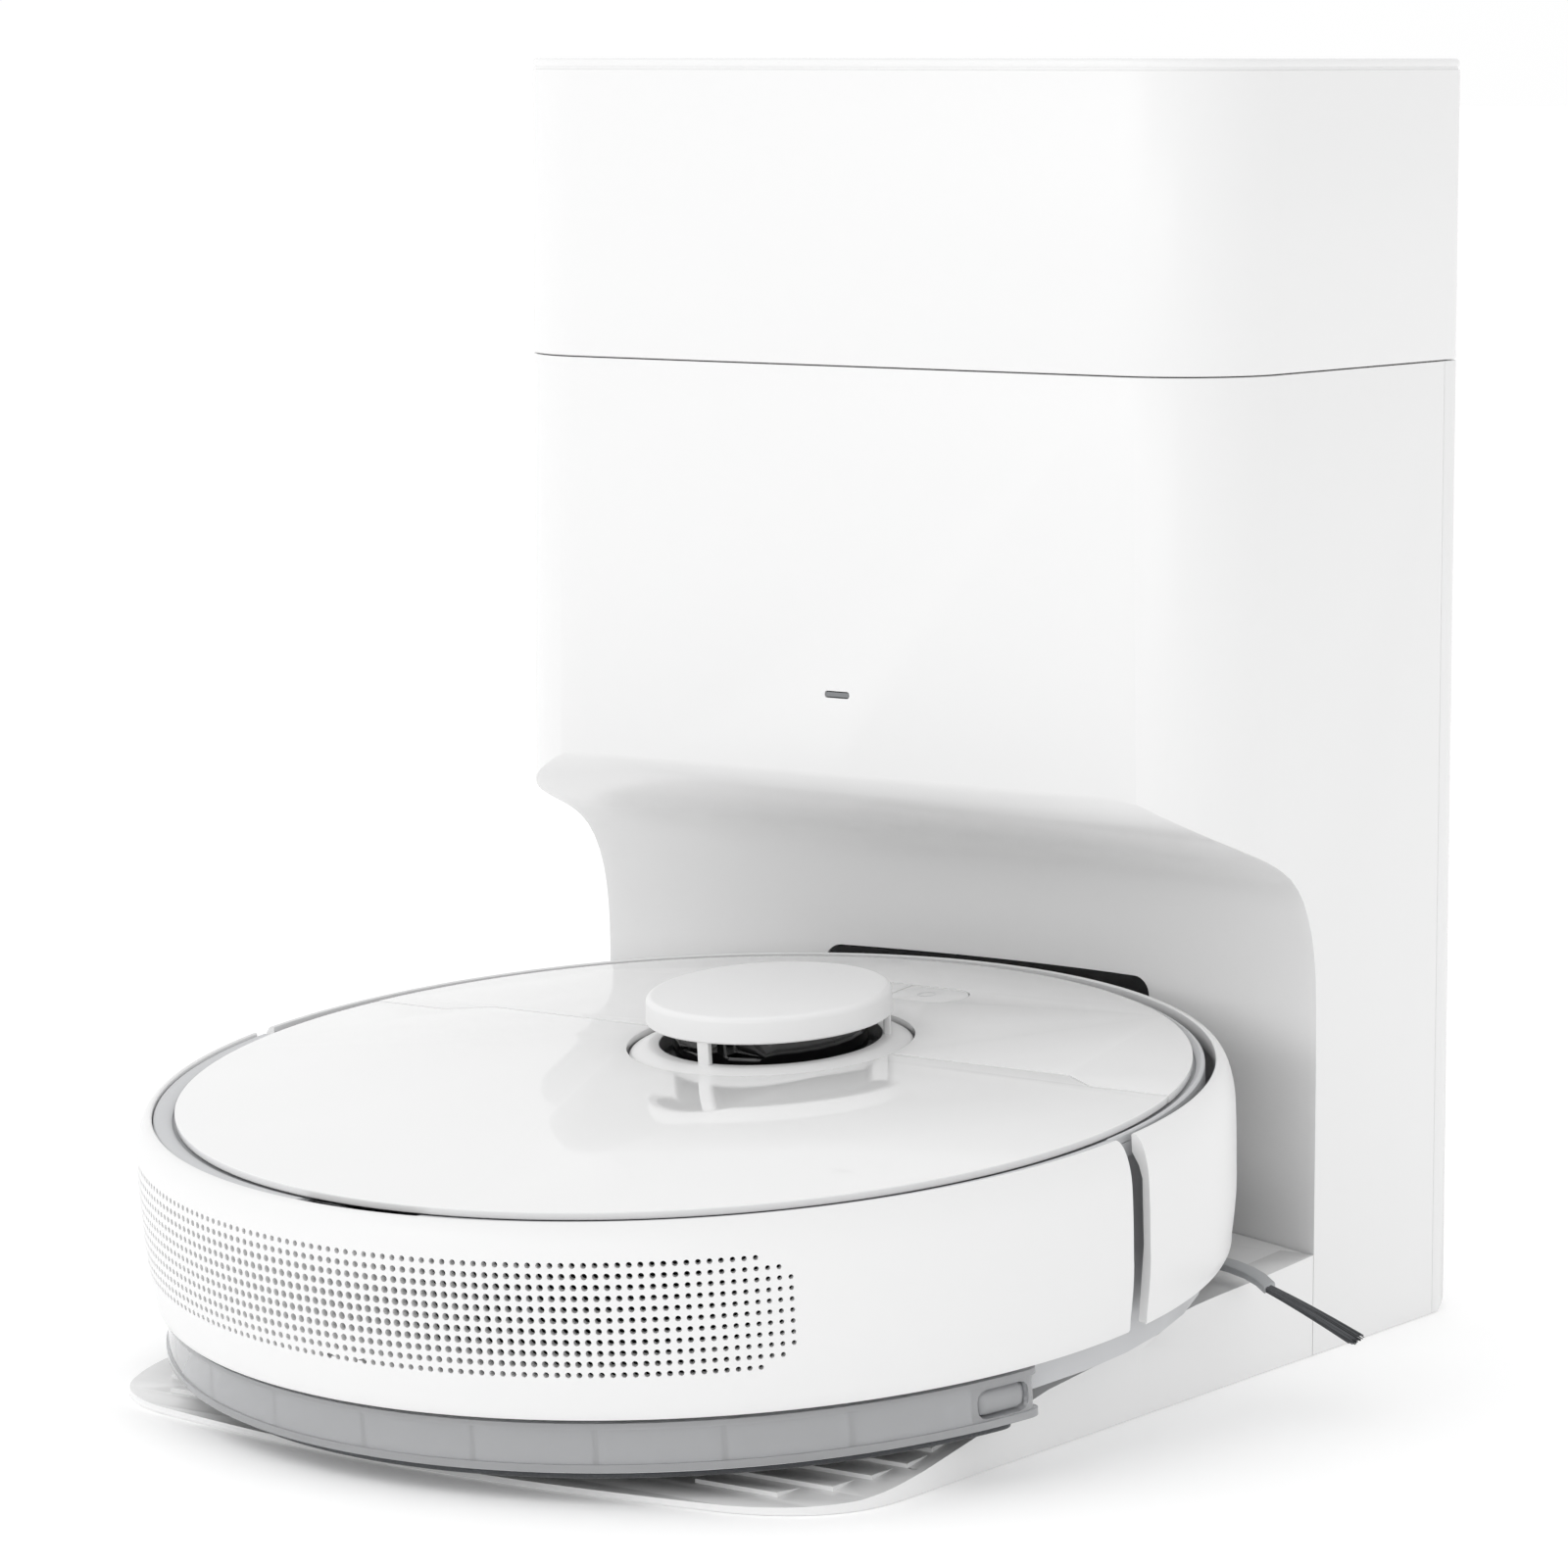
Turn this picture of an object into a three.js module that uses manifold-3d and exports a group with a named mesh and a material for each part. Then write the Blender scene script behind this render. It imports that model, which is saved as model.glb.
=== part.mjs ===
// A robot vacuum parked on its self-emptying dock. Millimetres, +Z up.
// The origin is on the floor under the centre of the robot's top plate. X is across, +Y points to the
// dock's back. The robot stands nose up on the dock's ramp, in a group of its own with its own frame:
// origin on the plane that its wheels touch, +Y forward, +Z up.
import * as THREE from "three";
import { mergeVertices } from "three/addons/utils/BufferGeometryUtils.js";
import Module from "manifold-3d";

const wasm = await Module();
wasm.setup();

// Overall sizes
const DOCK_WIDTH = 288;
const DOCK_FRONT_Y = 85;
const DOCK_BACK_Y = 246;
const DOCK_HEIGHT = 421.7;
const LID_SEAM_Z = 322;
const ROBOT_RADIUS = 175;
const ROBOT_TILT = THREE.MathUtils.degToRad(5.25);
const PLATE_TOP = 80.5;

// Clearances
const GAP = 0.4;
const RUNNING_GAP = 0.6;

// Dock
const DOCK_WALL = 3;
const FRONT_CORNER_R = 37;
const BACK_CORNER_R = 10;
const BACK_COVER_DEPTH = 15;
const RECESS_TOP_Z = 186;
const RECESS_SIDE_Y = 151.5;
const RECESS_MIDDLE_Y = 179;
const RECESS_STRAIGHT_Z = 124;
const BASE_FRONT_Y = -140;
const RAMP_LIP = 1.6;
const BAG_FLOOR_Z = 226;
const BAG_HEADROOM = 49.7;
const BAG = {
  halfWidth: 106,
  front: 132,
  back: 226,
  bottom: BAG_FLOOR_Z + 14,
  top: DOCK_HEIGHT - BAG_HEADROOM,
  wall: 1.6,
};
const PAD_R = 11;
const PAD_DEPTH = 2;
const IR_HALF_WIDTH = 66;
const IR_BOTTOM_Z = 78;
const IR_TOP_Z = 114;
const LIGHT_Z = 214.5;
const LIGHT_LENGTH = 9;
const LIGHT_HEIGHT = 1.5;
const PORT_Y = 71;
const DUCT_HALF_WIDTH = 24;
const DUCT_WALL = 2;
const CONTACT_X = 27;
const CONTACT_TRAVEL = 2;
const DOCK_FAN_X = 78;
const DOCK_FAN_Y = 211;

// Robot
const BODY_BOTTOM = 9.5;
const CHASSIS_R = 163;
const CHASSIS_TOP = 71;
const FLOOR = 3;
const SHELL_WALL = 2.4;
const SHELL_BOTTOM = 20;
const SHELL_TOP = 79.8;
const SHELL_LIP_R = 169.3;
const SHELL_SPLIT_Y = -8;
const BUMPER_SPLIT_Y = -1;
const PLATE_R = 162;
const PLATE_THICKNESS = 2.5;
const SEAM_Y = 48;
const SEAM_STEP = 9;
const SEAM_STEP_X = [113, 130];
const TURRET_HOLE_R = 47;
const TURRET_R = 40.3;
const TURRET_TOP = 97.5;
const POSTS = 3;
const POST_TURN = 0.56;
const TURRET_EYE = [82.2, 88];
const HEAD_R = 32;
const BUTTON_Y = 121;
const BUTTON_HALF_LENGTH = 27;
const BUTTON_R = 9;
const WHEEL_X = 112;
const WHEEL_R = 33;
const WHEEL_WIDTH = 17;
const ARM_PIVOT = [40, 44];
const CASTER_Y = 140;
const CASTER_R = 8.8;
const CASTER_TRAIL = 6;
const BRUSH_Y = 71;
const BRUSH_LOW = 8.5;
const BRUSH_R = 19;
const BRUSH_HALF_LENGTH = 84;
const BRUSH_ROOM = 5.5;
const BRUSH_HEADROOM = 3;
const CHAMBER_WALL = 2.5;
const BRUSH_Z = BRUSH_LOW + BRUSH_R;
const CHAMBER_BACK = BRUSH_Y - BRUSH_R - BRUSH_ROOM;
const CHAMBER_FRONT = BRUSH_Y + BRUSH_R + BRUSH_ROOM;
const CHAMBER_TOP = BRUSH_Z + BRUSH_R + BRUSH_HEADROOM;
const SNOUT_GAP = 1;
const SIDE_BRUSH = [104, 103];
const SIDE_BRUSH_Z = 7;
const SLEEVE_PATH = [[10, 1], [38, 4], [59, -18]];
const OUTER_BRISTLES = 44;
const INNER_BRISTLES = 18;
const TANK_R = 170;
const TANK_FRONT_Y = -46;
const TANK_BOTTOM = 3.4;
const TANK_TOP = 18.4;
const TANK_WALL = 1.8;
const LATCH_ANGLE = THREE.MathUtils.degToRad(69);
const LATCH_TRAVEL = 2.5;
const BIN = { halfWidth: 75, back: -95, front: -6, bottom: 24, top: 73.6 };
const BIN_GAP = 2;
const FAN_Y = -128;
const FAN_R = 27;

const FULL_ROUND = 48;
const MID_ROUND = 28;
const SMALL_ROUND = 16;

// Worked out from the sizes above
const HALF_WIDTH = DOCK_WIDTH / 2;
const COLUMN_BACK_Y = DOCK_BACK_Y - BACK_COVER_DEPTH - GAP;
const RECESS_SAG = RECESS_MIDDLE_Y - RECESS_SIDE_Y;
const RECESS_R = (HALF_WIDTH ** 2 + RECESS_SAG ** 2) / (2 * RECESS_SAG);
const PLATE_BOTTOM = PLATE_TOP - PLATE_THICKNESS;
const ROBOT_ORIGIN_Y = PLATE_TOP * Math.sin(ROBOT_TILT);
const ROBOT_ORIGIN_Z = 20.5;
const SLOPE = Math.tan(ROBOT_TILT);

const COLOURS = {
  white: { color: 0xf2f3f3, roughness: 0.35, metalness: 0 },
  glossWhite: { color: 0xf6f6f7, roughness: 0.08, metalness: 0 },
  grey: { color: 0xc9cbcc, roughness: 0.5, metalness: 0 },
  darkGrey: { color: 0x54575a, roughness: 0.6, metalness: 0 },
  black: { color: 0x17181a, roughness: 0.4, metalness: 0 },
  smoke: { color: 0x8d9092, roughness: 0.15, metalness: 0 },
  rubber: { color: 0x2b2c2e, roughness: 0.8, metalness: 0 },
  metal: { color: 0xc8c9cb, roughness: 0.3, metalness: 1 },
  green: { color: 0x1f5f3c, roughness: 0.5, metalness: 0 },
  paper: { color: 0xece9e2, roughness: 0.9, metalness: 0 },
};

// ---- Solids -------------------------------------------------------------------------------------

// A closed geometry as a solid whose faces point out.
function solidOf(geometry) {
  const bare = geometry.index ? geometry.toNonIndexed() : geometry.clone();
  bare.deleteAttribute("normal");
  bare.deleteAttribute("uv");
  const merged = mergeVertices(bare, 1e-4);
  const vertProperties = merged.attributes.position.array;
  const triVerts = new Uint32Array(merged.index.array);
  const solid = new wasm.Manifold(new wasm.Mesh({ numProp: 3, vertProperties, triVerts }));
  if (solid.volume() > 0) return solid;
  for (let i = 0; i < triVerts.length; i += 3) {
    [triVerts[i + 1], triVerts[i + 2]] = [triVerts[i + 2], triVerts[i + 1]];
  }
  return new wasm.Manifold(new wasm.Mesh({ numProp: 3, vertProperties, triVerts }));
}

function join(first, ...others) {
  return others.reduce((whole, other) => whole.add(other), first);
}

function cut(first, ...others) {
  return others.reduce((whole, other) => whole.subtract(other), first);
}

function block(x0, x1, y0, y1, z0, z1) {
  const geometry = new THREE.BoxGeometry(x1 - x0, y1 - y0, z1 - z0);
  return solidOf(geometry.translate((x0 + x1) / 2, (y0 + y1) / 2, (z0 + z1) / 2));
}

function outline(points) {
  return new THREE.Shape(points.map(([x, y]) => new THREE.Vector2(x, y)));
}

// An outline in the XY plane, raised from z0 to z1.
function prism(shape, z0, z1, curveSegments = 8) {
  const options = { depth: z1 - z0, bevelEnabled: false, curveSegments };
  return solidOf(new THREE.ExtrudeGeometry(shape, options).translate(0, 0, z0));
}

// An outline in the YZ plane, carried from x0 to x1.
function crossBar(points, x0, x1) {
  const geometry = new THREE.ExtrudeGeometry(outline(points), { depth: x1 - x0, bevelEnabled: false });
  const axes = [new THREE.Vector3(0, 1, 0), new THREE.Vector3(0, 0, 1), new THREE.Vector3(1, 0, 0)];
  const matrix = new THREE.Matrix4().makeBasis(...axes).setPosition(x0, 0, 0);
  return solidOf(geometry.applyMatrix4(matrix));
}

// A profile of [radius, height] pairs turned about an upright axis at x, y.
function turned(profile, segments, x = 0, y = 0) {
  const points = profile.map(([radius, height]) => new THREE.Vector2(radius, height));
  const closed = profile[0][0] === 0 ? points : [...points, points[0].clone()];
  const geometry = new THREE.LatheGeometry(closed, segments);
  return solidOf(geometry.rotateX(Math.PI / 2).translate(x, y, 0));
}

// An upright round bar, or a tube where inner is over 0.
function rod(radius, z0, z1, x = 0, y = 0, segments = SMALL_ROUND, inner = 0) {
  const profile = [[inner, z0], [radius, z0], [radius, z1], [inner, z1]];
  return turned(profile, segments, x, y);
}

// A round bar along X at y, z, or a tube where inner is over 0.
function axle(radius, x0, x1, y, z, segments = SMALL_ROUND, inner = 0) {
  const points = [[inner, x0], [radius, x0], [radius, x1], [inner, x1]].map(
    ([r, h]) => new THREE.Vector2(r, h),
  );
  const closed = inner > 0 ? [...points, points[0].clone()] : points;
  const geometry = new THREE.LatheGeometry(closed, segments);
  return solidOf(geometry.rotateZ(-Math.PI / 2).translate(0, y, z));
}

// A solid through rings of points that have the same count, with flat ends across X, placed by matrix.
function loft(rings, matrix = new THREE.Matrix4()) {
  const count = rings[0].length;
  const positions = rings.flat().flatMap(([x, y, z]) => [x, y, z]);
  const index = [];
  for (let r = 0; r + 1 < rings.length; r++) {
    for (let i = 0; i < count; i++) {
      const j = (i + 1) % count;
      const [a, b, c, d] = [r * count + i, r * count + j, (r + 1) * count + j, (r + 1) * count + i];
      index.push(a, b, c, a, c, d);
    }
  }
  const flat = rings[0].map(([, y, z]) => new THREE.Vector2(y, z));
  const last = (rings.length - 1) * count;
  for (const [a, b, c] of THREE.ShapeUtils.triangulateShape(flat, [])) {
    index.push(c, b, a, last + a, last + b, last + c);
  }
  const geometry = new THREE.BufferGeometry();
  geometry.setAttribute("position", new THREE.Float32BufferAttribute(positions, 3));
  geometry.setIndex(index);
  return solidOf(geometry.applyMatrix4(matrix));
}

function mesh(name, solid, look) {
  const { vertProperties, triVerts } = solid.getMesh();
  const geometry = new THREE.BufferGeometry();
  geometry.setAttribute("position", new THREE.BufferAttribute(vertProperties, 3));
  geometry.setIndex(new THREE.BufferAttribute(triVerts, 1));
  geometry.computeVertexNormals();
  const made = new THREE.Mesh(geometry, new THREE.MeshStandardMaterial(COLOURS[look]));
  made.name = name;
  return made;
}

// ---- Dock ---------------------------------------------------------------------------------------

// The plan of the tower between two Y values, drawn in from its faces by inset.
function towerPlan(inset, frontRadius, backY, backRadius) {
  const x = HALF_WIDTH - inset;
  const y = DOCK_FRONT_Y + inset;
  const shape = new THREE.Shape();
  shape.moveTo(-x, backY - backRadius);
  shape.lineTo(-x, y + frontRadius);
  shape.absarc(-x + frontRadius, y + frontRadius, frontRadius, Math.PI, 1.5 * Math.PI, false);
  shape.absarc(x - frontRadius, y + frontRadius, frontRadius, 1.5 * Math.PI, 2 * Math.PI, false);
  shape.lineTo(x, backY - backRadius);
  if (backRadius > 0) {
    shape.absarc(x - backRadius, backY - backRadius, backRadius, 0, 0.5 * Math.PI, false);
    shape.absarc(-x + backRadius, backY - backRadius, backRadius, 0.5 * Math.PI, Math.PI, false);
  }
  return shape;
}

// How far back the hollow wall behind the robot stands at x.
function recessWallY(x) {
  return RECESS_MIDDLE_Y - RECESS_R + Math.sqrt(RECESS_R ** 2 - x ** 2);
}

// The room that the robot drives into: a hollow wall that curves over into a roof. grow moves its
// faces back and up.
function recessRoom(grow) {
  const rings = [];
  const reach = HALF_WIDTH + 6;
  for (let x = -reach; x <= reach + 0.01; x += reach / 6) {
    const back = recessWallY(x) + grow;
    const depth = back - DOCK_FRONT_Y;
    const ring = [[x, -10, -5], [x, back, -5], [x, back, RECESS_STRAIGHT_Z + grow]];
    for (const [share, z] of [[0.95, 144], [0.86, 154], [0.7, 162.5], [0.45, 169], [0.2, 176]]) {
      ring.push([x, DOCK_FRONT_Y + depth * share, z + grow]);
    }
    ring.push([x, DOCK_FRONT_Y - 3, RECESS_TOP_Z + grow + 1], [x, -10, RECESS_TOP_Z + grow + 1]);
    rings.push(ring);
  }
  return loft(rings);
}

// A curved strip along the recess wall, from x0 to x1, between two distances behind the wall.
function wallStrip(x0, x1, near, far, z0, z1) {
  const front = [];
  const back = [];
  for (let i = 0; i <= 10; i++) {
    const x = x0 + ((x1 - x0) * i) / 10;
    front.push([x, recessWallY(x) + near]);
    back.unshift([x, recessWallY(x) + far]);
  }
  return prism(outline([...front, ...back]), z0, z1);
}

function dockColumn() {
  const outer = prism(towerPlan(0, FRONT_CORNER_R, COLUMN_BACK_Y, 0), 0, LID_SEAM_Z);
  const hollow = prism(
    towerPlan(DOCK_WALL, FRONT_CORNER_R - DOCK_WALL, DOCK_BACK_Y, 0),
    DOCK_WALL,
    LID_SEAM_Z + 1,
  );
  const column = cut(outer, recessRoom(0), cut(hollow, recessRoom(DOCK_WALL)));
  const gap = GAP;
  return cut(
    column,
    wallStrip(-IR_HALF_WIDTH - gap, IR_HALF_WIDTH + gap, -5, 12, IR_BOTTOM_Z - gap, IR_TOP_Z + gap),
    lightSlot(gap),
    block(-DUCT_HALF_WIDTH - 1, DUCT_HALF_WIDTH + 1, 140, 190, DOCK_WALL, 18),
    ...[-1, 1].map((side) => rod(PAD_R + gap, -1, PAD_DEPTH + gap, side * 118, 205)),
  );
}

// The room of the status light in the front wall.
function lightSlot(gap) {
  const halfLength = LIGHT_LENGTH / 2 + gap;
  const halfHeight = LIGHT_HEIGHT / 2 + gap;
  const y = DOCK_FRONT_Y;
  return block(-halfLength, halfLength, y - gap, y + 5 + gap, LIGHT_Z - halfHeight, LIGHT_Z + halfHeight);
}

function dockBackCover() {
  const y = DOCK_BACK_Y - BACK_COVER_DEPTH;
  const outer = cut(
    prism(towerPlan(0, FRONT_CORNER_R, DOCK_BACK_Y, BACK_CORNER_R), 0, LID_SEAM_Z),
    block(-HALF_WIDTH - 1, HALF_WIDTH + 1, DOCK_FRONT_Y - 1, y, -1, LID_SEAM_Z + 1),
  );
  const inset = DOCK_WALL;
  const hollow = cut(
    prism(
      towerPlan(inset, FRONT_CORNER_R - inset, DOCK_BACK_Y - inset, BACK_CORNER_R - inset),
      inset,
      LID_SEAM_Z + 1,
    ),
    block(-HALF_WIDTH, HALF_WIDTH, DOCK_FRONT_Y, y - 1, 0, LID_SEAM_Z + 2),
  );
  const grille = [];
  for (let row = 0; row < 7; row++) {
    const z = 60 + row * 9;
    grille.push(block(DOCK_FAN_X - 32, DOCK_FAN_X + 32, DOCK_BACK_Y - 5, DOCK_BACK_Y + 1, z, z + 4));
  }
  const lift = 9;
  const heel = crossBar(
    [[y - 1, -1], [DOCK_BACK_Y + 1, -1], [DOCK_BACK_Y + 1, lift], [y + 4, 0]],
    -HALF_WIDTH - 1,
    HALF_WIDTH + 1,
  );
  const inlet = block(-98 - GAP, -66 + GAP, DOCK_BACK_Y - 12, DOCK_BACK_Y + 1, 18 - GAP, 36 + GAP);
  return cut(outer, hollow, heel, inlet, ...grille);
}

function dockTopLid() {
  const bottom = LID_SEAM_Z + GAP;
  const edge = 3.2;
  const outer = join(
    prism(towerPlan(0, FRONT_CORNER_R, DOCK_BACK_Y, BACK_CORNER_R), bottom, DOCK_HEIGHT - edge),
    prism(towerPlan(1, FRONT_CORNER_R - 1, DOCK_BACK_Y - 1, BACK_CORNER_R - 1), DOCK_HEIGHT - 6, DOCK_HEIGHT),
  );
  const inset = DOCK_WALL;
  const hollow = prism(
    towerPlan(inset, FRONT_CORNER_R - inset, DOCK_BACK_Y - inset, BACK_CORNER_R - inset),
    bottom - 1,
    DOCK_HEIGHT - inset - 1,
  );
  return cut(outer, hollow);
}

// The height of the ramp's top surface along Y.
function rampProfile() {
  const level = (y) => ROBOT_ORIGIN_Z - RUNNING_GAP + (y - ROBOT_ORIGIN_Y) * SLOPE;
  return [
    [BASE_FRONT_Y - 1, RAMP_LIP],
    [-104, 3.1],
    [-76, 6.6],
    [-43, 12.4],
    [-8, level(-8)],
    [RECESS_MIDDLE_Y + 1, level(RECESS_MIDDLE_Y + 1)],
  ];
}

function basePlan() {
  const shape = new THREE.Shape();
  const x = HALF_WIDTH;
  const y = BASE_FRONT_Y;
  shape.moveTo(-x, recessWallY(x) - GAP);
  shape.lineTo(-x, y + 54);
  shape.quadraticCurveTo(-x, y + 20, -x + 34, y + 11);
  shape.quadraticCurveTo(-x / 3, y, 0, y);
  shape.quadraticCurveTo(x / 3, y, x - 34, y + 11);
  shape.quadraticCurveTo(x, y + 20, x, y + 54);
  for (let i = 0; i <= 12; i++) {
    const at = x - (2 * x * i) / 12;
    shape.lineTo(at, recessWallY(at) - GAP);
  }
  return shape;
}

function dockBase() {
  const plan = prism(basePlan(), 0, 60, 6);
  const top = rampProfile();
  const front = BASE_FRONT_Y - 1;
  const back = RECESS_MIDDLE_Y + 1;
  const ramp = crossBar([[front, 0], ...top, [back, 0]], -HALF_WIDTH, HALF_WIDTH);
  const railTop = [[44, 0], [44, 21], [57, 24.8], [70, 29], [104, 31], [117, 31.6], [152, 33.4], [152, 0]];
  const rails = [-1, 1].map((side) => {
    const [a, b] = [side * (HALF_WIDTH - 13), side * HALF_WIDTH];
    return crossBar(railTop, Math.min(a, b), Math.max(a, b));
  });
  const contactBlocks = [-1, 1].map((side) => {
    const [inner, outer] = [side * (CONTACT_X - 8), side * (CONTACT_X + 14)];
    return block(Math.min(inner, outer), Math.max(inner, outer), 149, back, 0, 41);
  });
  const solid = join(ramp, ...rails, ...contactBlocks).intersect(plan);
  const cuts = [
    block(-DUCT_HALF_WIDTH - 1, DUCT_HALF_WIDTH + 1, PORT_Y - 20, back + 1, -1, 18),
    block(-DUCT_HALF_WIDTH - 1, DUCT_HALF_WIDTH + 1, PORT_Y - 13, PORT_Y + 13, 10, 40),
  ];
  for (const side of [-1, 1]) {
    cuts.push(rod(PAD_R + GAP, -1, PAD_DEPTH + GAP, side * 112, 40));
    cuts.push(contactRoom(side));
    const [a, b] = [side * 34, side * (HALF_WIDTH - 5)];
    const pocket = [[60, -1], [60, 19], [140, 25], [140, -1]];
    cuts.push(crossBar(pocket, Math.min(a, b), Math.max(a, b)));
  }
  return cut(solid, ...cuts);
}

// The slot that a charging contact slides in.
function contactRoom(side) {
  const x = side * CONTACT_X;
  return block(x - 5 - GAP, x + 5 + GAP, 154 - GAP, 168 + GAP, 30, 50);
}

// A sprung charging contact with a domed top.
function contact(side) {
  const x = side * CONTACT_X;
  const top = 41 + CONTACT_TRAVEL;
  const points = [[154, 33], [168, 33], [168, 41], [165, top], [157, top - 0.6], [154, 40.6]];
  return crossBar(points, x - 5, x + 5);
}

function suctionDuct() {
  const w = DUCT_WALL;
  const [front, back] = [PORT_Y - 12, 222];
  const top = BAG_FLOOR_Z + 6;
  const shell = join(
    block(-DUCT_HALF_WIDTH, DUCT_HALF_WIDTH, front, back, 4, 17),
    block(-DUCT_HALF_WIDTH, DUCT_HALF_WIDTH, front, PORT_Y + 12, 4, 23),
    block(-DUCT_HALF_WIDTH, DUCT_HALF_WIDTH, 192, back, 4, top),
  );
  const bore = join(
    block(-DUCT_HALF_WIDTH + w, DUCT_HALF_WIDTH - w, front + w, back - w, 4 + w, 17 - w),
    block(-DUCT_HALF_WIDTH + w, DUCT_HALF_WIDTH - w, front + w, PORT_Y + 12 - w, 4 + w, 24),
    block(-DUCT_HALF_WIDTH + w, DUCT_HALF_WIDTH - w, 192 + w, back - w, 4 + w, top + 1),
  );
  return cut(shell, bore);
}

// A soft lip round the suction port, parallel to the ramp.
function inletSeal() {
  const level = (y, up) => ROBOT_ORIGIN_Z + (y - ROBOT_ORIGIN_Y) * SLOPE + up;
  const ring = (half, reach, low, high) =>
    crossBar(
      [
        [PORT_Y - reach, level(PORT_Y - reach, low)],
        [PORT_Y + reach, level(PORT_Y + reach, low)],
        [PORT_Y + reach, level(PORT_Y + reach, high)],
        [PORT_Y - reach, level(PORT_Y - reach, high)],
      ],
      -half,
      half,
    );
  return cut(ring(DUCT_HALF_WIDTH + 5, 17, -0.3, 3.6), ring(DUCT_HALF_WIDTH - 2, 10, -4, 6));
}

// The shelf that closes the bag compartment, with the duct's mouth and the motor's intake.
function bagHolder() {
  const inset = DOCK_WALL + GAP;
  const plan = towerPlan(inset, FRONT_CORNER_R - inset, COLUMN_BACK_Y, 0);
  const shelf = prism(plan, BAG_FLOOR_Z, BAG_FLOOR_Z + 3);
  const rim = DUCT_HALF_WIDTH + GAP;
  const intake = block(DOCK_FAN_X - 26, DOCK_FAN_X + 26, 176, 228, BAG_FLOOR_Z - 1, BAG_FLOOR_Z + 4);
  const bars = [];
  for (let i = 0; i < 3; i++) {
    const x = DOCK_FAN_X - 13 + i * 13;
    bars.push(block(x - 1.5, x + 1.5, 175, 229, BAG_FLOOR_Z, BAG_FLOOR_Z + 3));
  }
  const rails = [-1, 1].map((side) => {
    const [a, b] = [side * 41, side * 45];
    return block(Math.min(a, b), Math.max(a, b), 178, 229, BAG_FLOOR_Z + 2, BAG_FLOOR_Z + 11);
  });
  const mouth = block(-rim, rim, 192 - GAP, 222 + GAP, BAG_FLOOR_Z - 1, BAG_FLOOR_Z + 4);
  const light = block(-12, 12, DOCK_FRONT_Y, DOCK_FRONT_Y + 12, BAG_FLOOR_Z - 2, BAG_FLOOR_Z + 4);
  return join(cut(shelf, mouth, intake, light), ...bars, ...rails);
}

function dustBagCollar() {
  const z = BAG_FLOOR_Z + 6.6;
  const plate = block(-40, 40, 182, 228, z, z + 3);
  const neck = block(-28, 28, 189, 225, z + 2, z + 7);
  return cut(join(plate, neck), block(-21, 21, 195, 219, z - 1, z + 8));
}

// A box with bevelled edges, drawn in by shrink, in the shape of a filled bag.
function bagShape(shrink) {
  const { halfWidth, front: y0, back: y1, bottom, top } = BAG;
  const section = (x, squeeze) => {
    const inset = shrink + squeeze;
    const [front, back, low, high] = [y0 + inset, y1 - inset, bottom + inset, top - inset];
    const bevel = 16;
    return [
      [x, front + bevel, low],
      [x, back - bevel, low],
      [x, back, low + bevel],
      [x, back, high - bevel],
      [x, back - bevel, high],
      [x, front + bevel, high],
      [x, front, high - bevel],
      [x, front, low + bevel],
    ];
  };
  const end = halfWidth - shrink;
  return loft([section(-end, 12), section(10 - end, 2), section(0, 0), section(end - 10, 2), section(end, 12)]);
}

// The fleece bag, standing on its collar, with its mouth in its floor.
function dustBag() {
  const mouth = block(-20, 20, BAG.back - 31, BAG.back - 7, BAG.bottom - 1, BAG.bottom + 4);
  return cut(bagShape(0), bagShape(BAG.wall), mouth);
}

function dockFanHousing() {
  const [x, y] = [DOCK_FAN_X, DOCK_FAN_Y];
  const profile = [[0, 40], [29, 40], [29, 92], [25, 96], [16, 96], [14, 92], [14, 88], [0, 88]];
  const body = turned(profile, MID_ROUND, x, y);
  const chamber = turned([[0, 70], [26, 70], [26, 89], [0, 89]], MID_ROUND, x, y);
  const exhaust = block(x - 12, x + 12, y, y + 40, 72, 86);
  const mouth = rod(14, 86, 100, x, y);
  return cut(body, chamber, exhaust, mouth);
}

// A shrouded impeller with straight blades.
function impeller(radius, z0, z1, x, y, blades) {
  const parts = [rod(radius * 0.3, z0, z1, x, y), rod(radius, z0, z0 + 1.5, x, y, MID_ROUND)];
  for (let i = 0; i < blades; i++) {
    const turn = (2 * Math.PI * i) / blades;
    const blade = new THREE.BoxGeometry(radius * 0.72, 1.2, z1 - z0 - 2);
    blade.rotateZ(0.5).translate(radius * 0.58, 0, 0).rotateZ(turn);
    parts.push(solidOf(blade.translate(x, y, (z0 + z1) / 2)));
  }
  return join(...parts);
}

function dockMotorFilter() {
  const [low, high] = [BAG_FLOOR_Z - 20, BAG_FLOOR_Z - GAP];
  const tray = block(DOCK_FAN_X - 29, DOCK_FAN_X + 29, 172, 230, low, high);
  return cut(tray, block(DOCK_FAN_X - 26, DOCK_FAN_X + 26, 175, 227, high - 3, high + 1));
}

function dockCircuitBoard() {
  const board = block(-118, -40, 208, 209.6, 44, 118);
  const parts = [
    block(-112, -88, 209, 230, 50, 78),
    block(-80, -64, 209, 224, 50, 66),
    block(-60, -46, 209, 219, 84, 100),
    block(-108, -96, 209, 222, 88, 112),
  ];
  return join(board, ...parts);
}

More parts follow.
